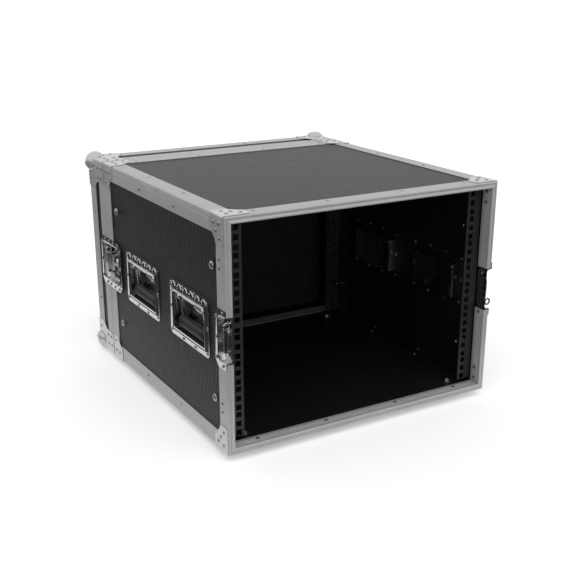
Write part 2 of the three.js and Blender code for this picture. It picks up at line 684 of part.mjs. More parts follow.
// The sliding hook: flat tail under the rotor, a step outwards, and a nose over the catch.
function latchHook() {
  const half = HOOK_WIDTH / 2;
  const catchTop = -LATCH_POCKET_DEPTH + CATCH_HEIGHT;
  const arm = [catchTop + HOOK_CLEAR, catchTop + HOOK_CLEAR + HOOK_WALL];
  const play = ROTOR_PIN + ROTOR_PIN_PLAY;
  const slot = block([HOOK_X[0] - 1, HOOK_X[1] + 1],
    [-ROTOR_BACK - play - HOOK_TRAVEL, -ROTOR_BACK + play], [-play, play]);
  const tail = cut(block(HOOK_X, [-HOOK_TAIL, -HOOK_STEP], [-half, half]), slot);
  return join(tail,
    block([HOOK_X[0], arm[1]], [-HOOK_STEP - HOOK_WALL, -HOOK_STEP], [-half, half]),
    block(arm, [-HOOK_STEP - HOOK_WALL, HOOK_REACH], [-half, half]),
    block([catchTop + NOSE_CLEAR, arm[1]], [HOOK_REACH - HOOK_NOSE, HOOK_REACH], [-half, half]));
}

// Local origin on the turning axis, at the side of the case.
function latchRotor() {
  const lugTop = WING_AXIS_X + LUG_RISE;
  const lugs = [-1, 1].map((side) => {
    const y = [LUG_INSIDE, LUG_INSIDE + LUG_WALL].map((limit) => side * limit).sort((p, q) => p - q);
    const lug = block([ROTOR_X[1] - 0.5, lugTop], y, [-LUG_HALF, LUG_HALF]);
    return cut(lug, rod('y', WING_PIN + WING_PIN_PLAY, [y[0] - 1, y[1] + 1], [WING_AXIS_X, 0], 8));
  });
  const pin = rod('x', ROTOR_PIN, [HOOK_FLOOR, ROTOR_X[0] + 1], [0, 0], 16);
  return join(rod('x', ROTOR_RADIUS, ROTOR_X, [0, 0], 24), pin, ...lugs);
}

// The folding wing: a ring of sheet on a hinge barrel, lying flat against the rotor.
function latchWing() {
  const half = [[WING_NECK, 0], [WING_NECK, WING_NECK_REACH], [WING_HALF, WING_SHOULDER[0]],
    [WING_HALF, WING_SHOULDER[1]], [WING_TIP, WING_REACH]];
  const shape = polygon([...half, ...half.map(([u, v]) => [-u, v]).reverse()]);
  const window = new THREE.Path();
  window.absarc(0, WING_WINDOW_REACH, WING_WINDOW, 0, Math.PI * 2, true);
  shape.holes.push(window);
  const sheet = slab(shape, [WING_AXIS_X - WING_WALL / 2, WING_AXIS_X + WING_WALL / 2],
    'yz', 8);
  const barrel = rod('y', KNUCKLE_RADIUS, [-WING_NECK, WING_NECK], [WING_AXIS_X, 0], 10);
  const pinEnd = LUG_INSIDE + LUG_WALL - WING_PIN_PLAY;
  const pin = rod('y', WING_PIN, [-pinEnd, pinEnd], [WING_AXIS_X, 0], 8);
  return join(sheet, barrel, pin);
}

for (const { name, sign, turn } of SIDES) {
  const side = sign * HALF_W;
  const upright = [0, turn, 0];
  place(`front_strike_${name}`, strike(), CHROME, [side, 0, 0], upright);
  place(`latch_dish_${name}`, halfDish(-SEAT, -LATCH_BODY_WIDTH, -LATCH_BODY_POCKET), CHROME,
    [side, BODY_DEPTH, 0], upright);
  place(`latch_hook_${name}`, latchHook(), CHROME, [side, BODY_DEPTH, 0], upright);
  const axis = [side, BODY_DEPTH - ROTOR_BACK, 0];
  place(`latch_rotor_${name}`, latchRotor(), CHROME, axis, upright);
  place(`latch_wing_${name}`, latchWing(), CHROME, axis, upright);
  place(`lid_strike_${name}`, strike(), CHROME, [side, BODY_DEPTH, 0], upright);
}

// ---------- rear lid ----------

function lidJointFrame() {
  const groove = [TONGUE[0] - TONGUE_PLAY, TONGUE[1] + TONGUE_PLAY];
  const floor = TONGUE_LENGTH + TONGUE_PLAY;
  const frame = join(
    ring([0, ALU], [LID_START, LID_START + FLANGE]),
    ring([0, LIP], [LID_START, LID_START + ALU]),
    ring([groove[0] - ALU, groove[1] + ALU], [LID_START, LID_START + floor + ALU]),
    ring([LIP - ALU, LIP], [LID_START, LID_START + JOINT_INNER_FLANGE]),
  );
  const grooved = cut(frame, ring(groove, [LID_START - 1, LID_START + floor]));
  return clearLatches(grooved, [LID_START - 1, LID_START + FLANGE + 1]);
}

const LID_WALL_START = LID_START + TONGUE_LENGTH + TONGUE_PLAY + ALU + SEAT;
const LID_BACK = [LID_END - SKIN - PLY, LID_END - SKIN];

function lidWalls() {
  const walls = ring([SKIN, INNER_FACE], [LID_WALL_START, LID_BACK[0] - SEAT]);
  const end = LID_START + STRIKE_POCKET + SHEET + CUT_PLAY;
  const half = [-CUT_HALF, CUT_HALF];
  const inside = HALF_W - INNER_FACE - 1;
  return cut(walls,
    block([inside, HALF_W], [LID_START, end], half),
    block([-HALF_W, -inside], [LID_START, end], half));
}

function lidBackPanel() {
  const halfW = HALF_W - SKIN;
  const halfH = HALF_H - SKIN;
  return block([-halfW, halfW], LID_BACK, [-halfH, halfH]);
}

function lidEdgeFrame() {
  return join(
    ring([0, ALU], [LID_END - FLANGE, LID_END]),
    ring([0, FLANGE], [LID_END - ALU, LID_END]),
  );
}

function lidFoam() {
  const halfW = HALF_W - INNER_FACE - FOAM_GAP;
  const halfH = HALF_H - INNER_FACE - FOAM_GAP;
  const back = LID_BACK[0] - SEAT;
  return block([-halfW, halfW], [back - FOAM, back], [-halfH, halfH]);
}

// Local origin at the outer rear corner of the lid. A ball over the corner, and three legs.
function lidCorner() {
  const sheet = [SEAT, SEAT + SHEET];
  const reach = LID_DEPTH - 1;
  const outline = [[0, 0], [0, -LID_TAIL], [-LID_TAIL_WIDTH, -LID_TAIL],
    [-LID_STEP_DEPTH, -LID_LEG], [-reach, -LID_LEG], [-reach, 0]];
  const side = slab(polygon(outline), sheet, 'yz');
  const top = slab(polygon(outline.map(([y, leg]) => [leg, y])), sheet, 'xy');
  const back = slab(polygon([[0, 0], [-LID_LEG, 0], [-LID_LEG, -LID_LEG + LID_CHAMFER],
    [-LID_LEG + LID_CHAMFER, -LID_LEG], [0, -LID_LEG]]), sheet, 'xz');
  const ball = new THREE.SphereGeometry(BALL_RADIUS, 20, 14);
  const inset = BALL_PROUD - BALL_RADIUS;
  ball.translate(inset, inset, inset);
  const reachOut = LID_TAIL + FLANGE;
  const inside = block([-reachOut, SEAT], [-reachOut, SEAT], [-reachOut, SEAT]);
  const edges = join(
    block([-1, sheet[1]], [-reach, sheet[1]], [-1, sheet[1]]),
    block([-LID_LEG, sheet[1]], [-1, sheet[1]], [-1, sheet[1]]),
    block([-1, sheet[1]], [-1, sheet[1]], [-LID_LEG, sheet[1]]));
  return cut(join(edges, side, top, back, solid(ball)), inside);
}

place('lid_joint_frame', lidJointFrame(), ALUMINIUM);
place('lid_walls', lidWalls(), LAMINATE);
place('lid_back_panel', lidBackPanel(), LAMINATE);
place('lid_edge_frame', lidEdgeFrame(), ALUMINIUM);
place('lid_foam', lidFoam(), FOAM_BLACK);
for (const { name, x, z, turn } of CORNERS) {
  place(`lid_corner_${name}`, lidCorner(), CHROME, [x, LID_END, z], [0, turn, 0]);
}

export default assembly;
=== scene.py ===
import math

import bmesh
import bpy
from mathutils import Matrix, Vector


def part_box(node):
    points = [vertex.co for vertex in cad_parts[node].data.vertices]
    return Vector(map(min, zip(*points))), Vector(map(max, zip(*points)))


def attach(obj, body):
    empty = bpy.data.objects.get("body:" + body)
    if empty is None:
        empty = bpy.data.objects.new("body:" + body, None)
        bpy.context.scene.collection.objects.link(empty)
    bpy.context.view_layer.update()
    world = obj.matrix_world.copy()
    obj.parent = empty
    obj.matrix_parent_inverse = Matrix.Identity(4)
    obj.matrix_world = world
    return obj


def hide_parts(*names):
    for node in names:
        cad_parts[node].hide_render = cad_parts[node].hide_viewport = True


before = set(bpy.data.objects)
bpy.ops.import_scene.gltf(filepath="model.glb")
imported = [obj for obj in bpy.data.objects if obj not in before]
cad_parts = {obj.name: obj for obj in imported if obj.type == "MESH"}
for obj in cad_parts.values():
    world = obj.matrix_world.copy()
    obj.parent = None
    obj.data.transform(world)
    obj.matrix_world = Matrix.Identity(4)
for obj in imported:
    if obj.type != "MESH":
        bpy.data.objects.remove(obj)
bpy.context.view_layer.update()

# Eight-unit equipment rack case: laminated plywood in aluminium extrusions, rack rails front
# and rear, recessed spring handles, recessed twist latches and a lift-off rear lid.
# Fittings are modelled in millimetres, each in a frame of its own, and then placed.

# ---------- places taken from the frame, in millimetres ----------

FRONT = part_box("front_frame_top")[0].y
MIDDLE = (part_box("edge_angle_top_right")[1].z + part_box("edge_angle_bottom_right")[0].z) / 2
CASE = Matrix.Translation((0, FRONT, MIDDLE)) @ Matrix.Diagonal((0.001, 0.001, 0.001, 1))


def in_case(point):
    """A point of the frame in the millimetres of the case: from the front lip, mid height."""
    return CASE.inverted() @ Vector(point)


def limits(node):
    """The lowest and highest corner of a node in the millimetres of the case."""
    return [in_case(corner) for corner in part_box(node)]


HALF_W = limits("edge_angle_top_right")[1].x
HALF_H = limits("edge_angle_top_right")[1].z
LID_START = limits("lid_joint_frame")[0].y
LID_END = limits("lid_edge_frame")[1].y
PARTING = 0.5                                    # gap between body and lid
BODY_DEPTH = LID_START - PARTING
PANEL = HALF_W - limits("right_panel")[1].x      # outside of the case to the plywood
INSIDE = HALF_W - limits("right_panel")[0].x     # outside of the case to the inner face
LIP = INSIDE + PANEL
FLANGE = limits("body_joint_frame")[1].y - limits("body_joint_frame")[0].y - 5
INSIDE_WALL = HALF_W - INSIDE                    # middle of the case to the inner face
SEAT = 0.25                                      # air under a plate on the extrusions
WALL = 1.2                                       # pressed steel
PLATE_TOP = SEAT + WALL
ALU = 1.0                                        # wall of an extrusion
CUT_HALF = limits("front_frame_right_upper")[0].z
HANDLE_YS = {end: (limits(f"handle_dish_{end}_right")[0].y
                   + limits(f"handle_dish_{end}_right")[1].y) / 2 for end in ("front", "rear")}
SIDES = {"right": 1, "left": -1}
CORNERS = ("top_right", "bottom_right", "bottom_left", "top_left")
OPPOSITE = {"right": "left", "left": "right", "top": "bottom", "bottom": "top"}

# ---------- modelling ----------


def fresh():
    """Leaves edit mode, with nothing selected."""
    if bpy.context.object and bpy.context.object.mode != "OBJECT":
        bpy.ops.object.mode_set(mode="OBJECT")
    bpy.ops.object.select_all(action="DESELECT")


def take(piece):
    """Leaves edit mode with one piece selected and active."""
    fresh()
    piece.select_set(True)
    bpy.context.view_layer.objects.active = piece


def settle():
    """Leaves edit mode and applies the place of the piece in hand to its mesh."""
    bpy.ops.object.mode_set(mode="OBJECT")
    bpy.ops.object.transform_apply(location=True, rotation=False, scale=False)


def start(add, **size):
    """Adds a primitive and opens it in edit mode, selected all over."""
    fresh()
    add(**size)
    bpy.ops.object.mode_set(mode="EDIT")
    return bpy.context.object


def reopen(piece):
    """Opens a piece in edit mode with all of it selected."""
    take(piece)
    bpy.ops.object.mode_set(mode="EDIT")
    bpy.ops.mesh.select_all(action="SELECT")


def pick(kind, test):
    """Selects the points, edges or faces of the piece in hand that pass a test.

    A point is tested by its place, an edge by its middle, a face by its middle and normal."""
    bpy.ops.mesh.select_mode(type=kind)
    bpy.ops.mesh.select_all(action="DESELECT")
    mesh = bmesh.from_edit_mesh(bpy.context.object.data)
    if kind == "VERT":
        chosen = [v for v in mesh.verts if test(v.co)]
    elif kind == "EDGE":
        chosen = [e for e in mesh.edges if test((e.verts[0].co + e.verts[1].co) / 2)]
    else:
        chosen = [f for f in mesh.faces if test(f.calc_center_median(), f.normal)]
    for element in chosen:
        element.select_set(True)
    mesh.select_flush_mode()
    bmesh.update_edit_mesh(bpy.context.object.data)
    return len(chosen)


def held():
    """Lowest and highest corner of the selected points."""
    mesh = bmesh.from_edit_mesh(bpy.context.object.data)
    points = [v.co for v in mesh.verts if v.select]
    low = Vector([min(p[i] for p in points) for i in range(3)])
    high = Vector([max(p[i] for p in points) for i in range(3)])
    return low, high


def move(step):
    bpy.ops.transform.translate(value=tuple(step))


def extrude(step=(0, 0, 0)):
    bpy.ops.mesh.extrude_region_move(TRANSFORM_OT_translate={"value": tuple(step)})


def resize(scale, centre):
    bpy.ops.transform.resize(value=tuple(scale), center_override=tuple(centre))


def press(levels, wide, bottom, top, step):
    """Presses the selected face into a pan: each level is (growth of the opening, height)."""
    for grow, height in levels:
        bpy.ops.mesh.inset(thickness=step)
        fit((-wide - grow, wide + grow), (bottom - grow, top + grow), height)


def fit(u, v, w):
    """Fits the selected flat face to new limits along u and v, at height w."""
    low, high = held()
    middle = (low + high) / 2
    resize(((u[1] - u[0]) / (high.x - low.x), (v[1] - v[0]) / (high.y - low.y), 1), middle)
    move(((u[0] + u[1]) / 2 - middle.x, (v[0] + v[1]) / 2 - middle.y, w - middle.z))


def slice_off(point, normal, fill=True):
    """Cuts away all that lies on the side of a plane to which its normal points."""
    bpy.ops.mesh.select_all(action="SELECT")
    bpy.ops.mesh.bisect(plane_co=tuple(point), plane_no=tuple(normal), use_fill=fill,
                        clear_outer=True)


def refine(piece, kind, **settings):
    """Adds a modifier to a piece and applies it."""
    take(piece)
    modifier = piece.modifiers.new(kind.lower(), kind)
    for key, value in settings.items():
        setattr(modifier, key, value)
    bpy.ops.object.modifier_apply(modifier=modifier.name)
    return piece


def thicken(piece, wall, even=True):
    return refine(piece, "SOLIDIFY", thickness=wall, offset=-1, use_even_offset=even)


def soften(piece, width, segments=2, angle=35):
    return refine(piece, "BEVEL", width=width, segments=segments, limit_method="ANGLE",
                  angle_limit=math.radians(angle), use_clamp_overlap=True)


def outwards(piece):
    """Merges doubled points and turns the faces of a closed piece outwards."""
    reopen(piece)
    bpy.ops.mesh.remove_doubles(threshold=0.001)
    bpy.ops.mesh.normals_make_consistent(inside=False)
    fresh()
    return piece


def join(first, *others):
    fresh()
    for piece in (first, *others):
        piece.select_set(True)
    bpy.context.view_layer.objects.active = first
    bpy.ops.object.join()
    return first


def sheet(rows, out, wall=0.0):
    """A sheet drawn row by row, each row an edge between two points, extruded from the last.

    The first face looks to out, and the wall lies behind it."""
    piece = start(bpy.ops.mesh.primitive_plane_add, size=2)
    pick("VERT", lambda p: p.y > 0)
    bpy.ops.mesh.delete(type="VERT")
    bpy.ops.mesh.select_all(action="SELECT")
    first, second = Vector((-1, -1, 0)), Vector((1, -1, 0))
    for number, row in enumerate(rows):
        step = Vector(row[0]) - first
        if number:
            extrude(step)
        else:
            move(step)
        corner, target = second + step, Vector(row[1])
        if (target - corner).length > 1e-5:
            pick("VERT", lambda p: (p - corner).length < 1e-4)
            move(target - corner)
        first, second = Vector(row[0]), target
        pick("VERT", lambda p: (p - first).length < 1e-4 or (p - second).length < 1e-4)
        bpy.ops.mesh.select_mode(type="EDGE")
    bpy.ops.mesh.select_all(action="SELECT")
    bpy.ops.mesh.normals_make_consistent(inside=False)
    mesh = bmesh.from_edit_mesh(piece.data)
    start_row = (Vector(rows[0][0]) + Vector(rows[0][1])) / 2
    nearest = min(mesh.faces, key=lambda f: (f.calc_center_median() - start_row).length)
    if nearest.normal.dot(Vector(out)) < 0:
        bpy.ops.mesh.flip_normals()
    return thicken(piece, wall) if wall else piece


def round_off(piece, points, radius, segments=3):
    """Rounds the outline of a sheet at the given points, or cuts them off with one segment."""
    reopen(piece)
    pick("VERT", lambda p: any((p - Vector(q)).length < 0.01 for q in points))
    bpy.ops.mesh.bevel(offset=radius, segments=segments, affect="VERTICES")
    return piece


def turned(profile, sides=24):
    """A round piece drawn as (radius, height) rings along Z, closed at both ends."""
    (radius, height), *rest = profile
    piece = start(bpy.ops.mesh.primitive_circle_add, vertices=sides, radius=radius,
                  location=(0, 0, height), fill_type="NGON")
    settle()
    bpy.ops.object.mode_set(mode="EDIT")
    bpy.ops.mesh.select_all(action="SELECT")
    for next_radius, next_height in rest:
        extrude((0, 0, next_height - height))
        share = next_radius / radius
        resize((share, share, 1), (0, 0, next_height))
        radius, height = next_radius, next_height
    return outwards(piece)


def block(low, high):
    """A square-edged block between two corners, open in edit mode."""
    piece = start(bpy.ops.mesh.primitive_cube_add, size=1)
    low, high = Vector(low), Vector(high)
    resize(high - low, (0, 0, 0))
    move((low + high) / 2)
    return piece


def wire(points, radius, sides=3):
    """A round wire bent through a list of points, with closed ends."""
    curve = bpy.data.curves.new("wire", "CURVE")
    curve.dimensions = "3D"
    curve.bevel_depth = radius
    curve.bevel_resolution = sides
    curve.use_fill_caps = True
    spline = curve.splines.new("POLY")
    spline.points.add(len(points) - 1)
    for knot, point in zip(spline.points, points):
        knot.co = (*point, 1)
    piece = bpy.data.objects.new("wire", curve)
    bpy.context.scene.collection.objects.link(piece)
    take(piece)
    bpy.ops.object.convert(target="MESH")
    return outwards(bpy.context.object)


def arc(centre, radius, first, last, steps):
    """Points of an arc in a plane, from one angle to another in degrees."""
    angles = [math.radians(first + (last - first) * i / steps) for i in range(steps + 1)]
    return [(centre[0] + radius * math.cos(a), centre[1] + radius * math.sin(a)) for a in angles]


def scored(first, last, dent, marks, half=0.45):
    """A straight wall from first to last in a plane, with a V groove at each distance."""
    first, last, dent = Vector(first), Vector(last), Vector(dent)
    run = (last - first).normalized()
    points = [first]
    for mark in marks:
        middle = first + run * mark
        points += [middle - run * half, middle + dent, middle + run * half]
    return [tuple(point) for point in (*points, last)]


# ---------- placing ----------

PATTERNS = []


def pattern(piece, angle=28):
    """Keeps a modelled piece as the pattern for its copies, with smooth shading."""
    take(piece)
    bpy.ops.object.transform_apply(location=True, rotation=True, scale=True)
    bpy.ops.object.shade_smooth_by_angle(angle=math.radians(angle))
    PATTERNS.append(piece)
    return piece


def copy_of(model, matrix):
    """A copy of a pattern with its own mesh, moved by a matrix of the case's millimetres."""
    piece = model.copy()
    piece.data = model.data.copy()
    bpy.context.scene.collection.objects.link(piece)
    piece.data.transform(CASE @ matrix)
    if matrix.determinant() < 0:
        piece.data.flip_normals()
    return piece


def name_piece(piece, name, body, finish, nodes=()):
    piece.name = name
    piece.data.name = name
    piece.data.materials.clear()
    piece.data.materials.append(finish)
    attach(piece, body)
    if nodes:
        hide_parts(*nodes)
    return piece


def set_in(model, name, matrix, finish, body="case_body", nodes=()):
    return name_piece(copy_of(model, matrix), name, body, finish, nodes)


def row_of(model, name, matrices, finish, body="case_body", nodes=()):
    """Many copies of one pattern as one piece, such as the rivets of a fitting."""
    first, *others = [copy_of(model, matrix) for matrix in matrices]
    whole = join(first, *others) if others else first
    return name_piece(whole, name, body, finish, nodes)


def shift(x, y, z):
    return Matrix.Translation((x, y, z))


def columns(x, y, z, origin=(0, 0, 0)):
    """A matrix from the directions that the local axes take, and the place of the origin."""
    return Matrix.Translation(origin) @ Matrix((x, y, z)).transposed().to_4x4()


UP = Matrix.Identity(4)
FACING = {
    "top": columns((1, 0, 0), (0, 1, 0), (0, 0, 1)),
    "bottom": columns((1, 0, 0), (0, -1, 0), (0, 0, -1)),
    "right": columns((0, 1, 0), (0, 0, 1), (1, 0, 0)),
    "left": columns((0, -1, 0), (0, 0, 1), (-1, 0, 0)),
    "front": columns((1, 0, 0), (0, 0, 1), (0, -1, 0)),
    "back": columns((-1, 0, 0), (0, 0, 1), (0, 1, 0)),
}


def at(facing, *place):
    """A piece's Z turned to one of the six sides, at a place."""
    return Matrix.Translation(place) @ FACING[facing]


def at_wall(side, depth=0.0, turn_over=False):
    """From (along, up, out) of a side fitting to the case. A turned fitting is upside down."""
    sign = SIDES[side]
    up = -1 if turn_over and sign < 0 else 1
    return columns((0, 1, 0), (0, 0, up), (sign, 0, 0), (sign * HALF_W, depth, 0))


def signs(name):
    """The sides of a corner by its name, as signs of x and z and as the two faces that meet."""
    face, wall = name.split("_")
    return (1 if wall == "right" else -1), (1 if face == "top" else -1), wall, face


def corner_turn(name):
    """From the top right long edge to one of the four, as a turn about Y."""
    turns = {"top_right": 0, "bottom_right": 90, "bottom_left": 180, "top_left": -90}
    x_sign, z_sign, *_ = signs(name)
    spot = shift(x_sign * HALF_W, 0, z_sign * HALF_H)
    return spot @ Matrix.Rotation(math.radians(turns[name]), 4, "Y")


# ---------- finishes ----------

EMBOSS_PITCH = 0.0052


class Flow:
    """A socket of a node material. Sums on it add Math nodes, and node() adds any other."""

    def __init__(self, tree, socket):
        self.tree = tree
        self.socket = socket

    def node(self, kind, settings=None, sockets=None, output=0):
        added = self.tree.nodes.new(kind)
        for key, value in (settings or {}).items():
            setattr(added, key, value)
        for key, value in (sockets or {}).items():
            if isinstance(value, Flow):
                self.tree.links.new(value.socket, added.inputs[key])
            else:
                added.inputs[key].default_value = value
        return Flow(self.tree, added.outputs[output])

    def math(self, operation, *others):
        values = dict(enumerate((self, *others)))
        return self.node("ShaderNodeMath", {"operation": operation}, values)

    def __add__(self, other):
        return self.math("ADD", other)

    def __mul__(self, other):
        return self.math("MULTIPLY", other)

    __radd__ = __add__
    __rmul__ = __mul__


def finish(name, grey, roughness, metallic=0.0, **constants):
    """A material with plain values on its shader, and its place on the piece as a Flow."""
    material = bpy.data.materials.new(name)
    material.use_nodes = True
    tree = material.node_tree
    shader = tree.nodes["Principled BSDF"]
    shader.inputs["Base Color"].default_value = (grey, grey, grey, 1)
    shader.inputs["Roughness"].default_value = roughness
    shader.inputs["Metallic"].default_value = metallic
    for key, value in constants.items():
        shader.inputs[key.replace("_", " ")].default_value = value
    coordinates = tree.nodes.new("ShaderNodeTexCoord")
    return material, Flow(tree, coordinates.outputs["Object"])


def feed(flow, socket):
    """Feeds a flow into a socket of the shader."""
    flow.tree.links.new(flow.socket, flow.tree.nodes["Principled BSDF"].inputs[socket])


def raise_surface(flow, height, distance, strength=1.0):
    feed(flow.node("ShaderNodeBump", None,
                   {"Height": height, "Distance": distance, "Strength": strength}), "Normal")


def grain(place, scale, stretch=(1, 1, 1), detail=3.0):
    """Noise over a piece, stretched along its axes."""
    spread = place.node("ShaderNodeMapping", None, {"Vector": place, "Scale": stretch})
    return place.node("ShaderNodeTexNoise", None,
                      {"Vector": spread, "Scale": scale, "Detail": detail})


def between(flow, low, high):
    """A flow from 0 to 1 spread over a range."""
    return flow * (high - low) + low


def tone(flow, low, high):
    """Two greys mixed by a flow."""
    mixed = flow.node("ShaderNodeMix", {"data_type": "RGBA"},
                      {0: flow, 6: (low, low, low, 1), 7: (high, high, high, 1)}, 2)
    feed(mixed, "Base Color")


def laminate():
    """Black laminate with a fine emboss in rows on each of its faces."""
    material, place = finish("black_laminate", 0.012, 0.3, Specular_IOR_Level=0.17)
    turn = 2 * math.pi / EMBOSS_PITCH
    x, y, z = [(place.node("ShaderNodeSeparateXYZ", None, {0: place}, axis) * turn).math("COSINE")
               for axis in range(3)]
    emboss = x + y + z
    cloud = grain(place, 60.0)
    raise_surface(place, emboss + cloud * 0.2, 0.00015)
    tone(grain(place, 14.0), 0.005, 0.009)
    feed(between(cloud, 0.36, 0.46), "Roughness")
    return material


def brushed(name, stretch):
    """Aluminium extrusion, drawn along one axis."""
    material, place = finish(name, 0.6, 0.34, 0.5)
    lines = grain(place, 900.0, stretch, 2.0)
    marks = grain(place, 25.0, detail=5.0)
    tone(marks * 0.6 + lines * 0.4, 0.36, 0.54)
    feed(between(lines * 0.6 + marks * 0.4, 0.42, 0.6), "Roughness")
    raise_surface(place, lines, 0.00004, 0.6)
    return material


def polished(name, metallic, greys, roughness, scale, detail=3.0):
    """Plated steel whose grey and gloss wander together over a piece."""
    material, place = finish(name, sum(greys) / 2, sum(roughness) / 2, metallic)
    marks = grain(place, scale, detail=detail)
    tone(marks, *greys)
    feed(between(marks, *roughness), "Roughness")
    return material


def powder_coat():
    """Satin black coat on the rack rails."""
    material, place = finish("black_powder_coat", 0.012, 0.42)
    peel = grain(place, 700.0)
    raise_surface(place, peel, 0.00008)
    tone(grain(place, 20.0), 0.009, 0.016)
    feed(between(peel, 0.36, 0.5), "Roughness")
    return material


def rubber(name, low, high, roughness):
    material, place = finish(name, low, roughness, Specular_IOR_Level=0.25)
    pores = grain(place, 500.0)
    tone(grain(place, 30.0), low, high)
    feed(between(pores, roughness - 0.06, roughness + 0.08), "Roughness")
    raise_surface(place, pores, 0.0001)
    return material


def open_foam():
    """Charcoal foam with open cells, and painted shade darkening the pits of the cells."""
    material, place = finish("black_foam", 0.012, 0.95)
    cells = place.node("ShaderNodeTexVoronoi", None, {"Vector": place, "Scale": 420.0})
    patches = grain(place, 22.0, detail=4.0)
    # Painted shade: darker in the pits of the cells, from the same pattern that dents the surface,
    # over random patches of the foam's own charcoal.
    tone(cells * 0.5 + patches * 0.6, 0.004, 0.03)
    raise_surface(place, cells, 0.0006)
    return material


LAMINATE = laminate()
DRAWN_X = brushed("aluminium_along_width", (0.02, 1, 1))
DRAWN_Y = brushed("aluminium_along_depth", (1, 0.02, 1))
DRAWN_Z = brushed("aluminium_along_height", (1, 1, 0.02))
PLATED = polished("plated_steel", 1.0, (0.46, 0.64), (0.1, 0.22), 40.0, 4.0)
SATIN = polished("satin_plated_steel", 0.6, (0.44, 0.66), (0.24, 0.4), 55.0, 5.0)
ZINC = polished("zinc_plate", 1.0, (0.26, 0.46), (0.2, 0.36), 90.0)
COAT = powder_coat()
GRIP = rubber("grip_rubber", 0.006, 0.012, 0.42)
FOOT = rubber("foot_rubber", 0.012, 0.024, 0.62)
FOAM = open_foam()

WOOD_SLOT = "laminated_plywood"
LID = "rear_lid"

# ---------- small parts that repeat ----------

RIVET_R = 3.3
RIVET = pattern(turned([(RIVET_R, 0), (RIVET_R * 0.97, 0.5), (RIVET_R * 0.7, 1.15),
                        (RIVET_R * 0.32, 1.4), (RIVET_R * 0.3, 1.1)], 14))
TAIL = pattern(turned([(3.6, 0), (3.4, 0.5), (2.0, 0.8), (1.8, 2.0), (1.2, 2.4)], 14))
WASHER = pattern(turned([(10.6, 0), (10.6, 0.9), (10.1, 1.2), (3.2, 1.2)], 28))


def hex_nut(radius, height, bore):
    """A nut with chamfered corners and a bolt end in its bore."""
    piece = start(bpy.ops.mesh.primitive_cylinder_add, vertices=6, radius=radius, depth=height,
                  location=(0, 0, height / 2))
    settle()
    soften(piece, height * 0.12, 1, 30)
    reopen(piece)
    pick("FACE", lambda p, n: n.z > 0.9 and p.z > height * 0.9)
    bpy.ops.mesh.inset(thickness=radius * 0.87 - bore)
    move((0, 0, -height * 0.2))
    return piece


def screw_head(radius, height):
    """A domed head with a round recess in its top."""
    piece = turned([(radius, 0), (radius, height * 0.15), (radius * 0.86, height * 0.6),
                    (radius * 0.6, height * 0.9), (radius * 0.36, height)], 24)
    reopen(piece)
    pick("FACE", lambda p, n: n.z > 0.9 and p.z > height * 0.95)
    bpy.ops.mesh.inset(thickness=radius * 0.08)
    move((0, 0, -height * 0.35))
    return piece


NUT = pattern(hex_nut(6.0, 5.0, 3.0))
THIN_NUT = pattern(hex_nut(6.4, 3.2, 3.0))
THREAD = pattern(turned([(3.0, 0), (3.0, 4.6), (2.4, 5.2)], 16))
BOLT_END = pattern(turned([(3.0, 0), (3.0, 16.5), (2.3, 17.4)], 16))
HEAD = pattern(screw_head(6.75, 3.2))


def rivets(name, spots, body="case_body", model=None):
    """Rivets of a fitting as one piece: each spot is (facing, x, y, z)."""
    row_of(model or RIVET, name, [at(*spot) for spot in spots], ZINC, body)


def plate_rivets(name, spot, spots, body="case_body"):
    """Rivets of a dish as one piece: each is (along, up) on its flat flange."""
    row_of(RIVET, name, [spot @ shift(u, v, PLATE_TOP) for u, v in spots], ZINC, body)


# ---------- aluminium extrusions ----------

EDGE_ROUND = 1.6
FRONT_INNER = 23.0            # flange inside the front opening
JOINT_INNER = 16.0            # flange inside the rear joint
TONGUE = (4.5, 7.0, 5.0)      # inset of its two walls, and how far it stands out
GROOVE = (3.75, 7.75, 5.75)   # the same for the groove of the lid
FLANGE_SCORES = (3.0, 9.0)    # scored lines, from the corner
BEAD_R = 2.6                  # bead along the inner edge of the front lip
BEAD_RISE = 1.2
ANGLE_ROUND = 2.6             # corner of the long edge angles


def outer_flange(near, far):
    """Outside flange of a frame, from its free edge to its corner, with two scored lines."""
    run = abs(near - far)
    return scored((far, 0), (near, 0), (0, 0.3), [run - mark for mark in reversed(FLANGE_SCORES)])


def front_profile():
    """Front frame as (depth, inset) points: outside flange, rounded lip, flange inside."""
    flange = limits("front_frame_top")[1].y
    r = EDGE_ROUND
    return [*outer_flange(r, flange), *arc((r, r), r, -90, -180, 4)[1:],
            *scored((0, r + 0.5), (0, LIP - 2 * BEAD_R), (0.9, 0), [1.9, 5.2], 0.6),
            *arc((BEAD_RISE, LIP - BEAD_R), BEAD_R, 228, 90, 7),
            *scored((BEAD_RISE + 0.5, LIP), (FRONT_INNER, LIP), (0, -0.8),
                    [3.5, 7.0, 10.5, 14], 0.7)[1:]]


def member(profile, first, last, mitres):
    """A length of extrusion along X, mitred at the chosen ends (-1 and 1)."""
    rows = [((first, y, -inset), (last, y, -inset)) for y, inset in profile]
    piece = sheet(rows, (0, 0, 1), ALU)
    reopen(piece)
    for end in mitres:
        edge = last if end > 0 else first
        slice_off((edge, 0, 0), (end, 0, -1))
    return outwards(piece)


def joint_profile(face, way, rib):
    """Frame at the rear joint, whose flanges run towards way from its face.

    The rib is the body's tongue or the lid's groove, and both reach towards the lid."""
    near, far, reach = rib
    r = EDGE_ROUND
    scores = [FLANGE - mark - r for mark in reversed(FLANGE_SCORES)]
    return [*scored((face + way * FLANGE, 0), (face + way * r, 0), (0, 0.5), scores),
            *arc((face + way * r, r), r, -90, -90 - way * 90, 4)[1:],
            (face, near), (face + reach, near), (face + reach, far), (face, far),
            (face, LIP), (face + way * JOINT_INNER, LIP)]


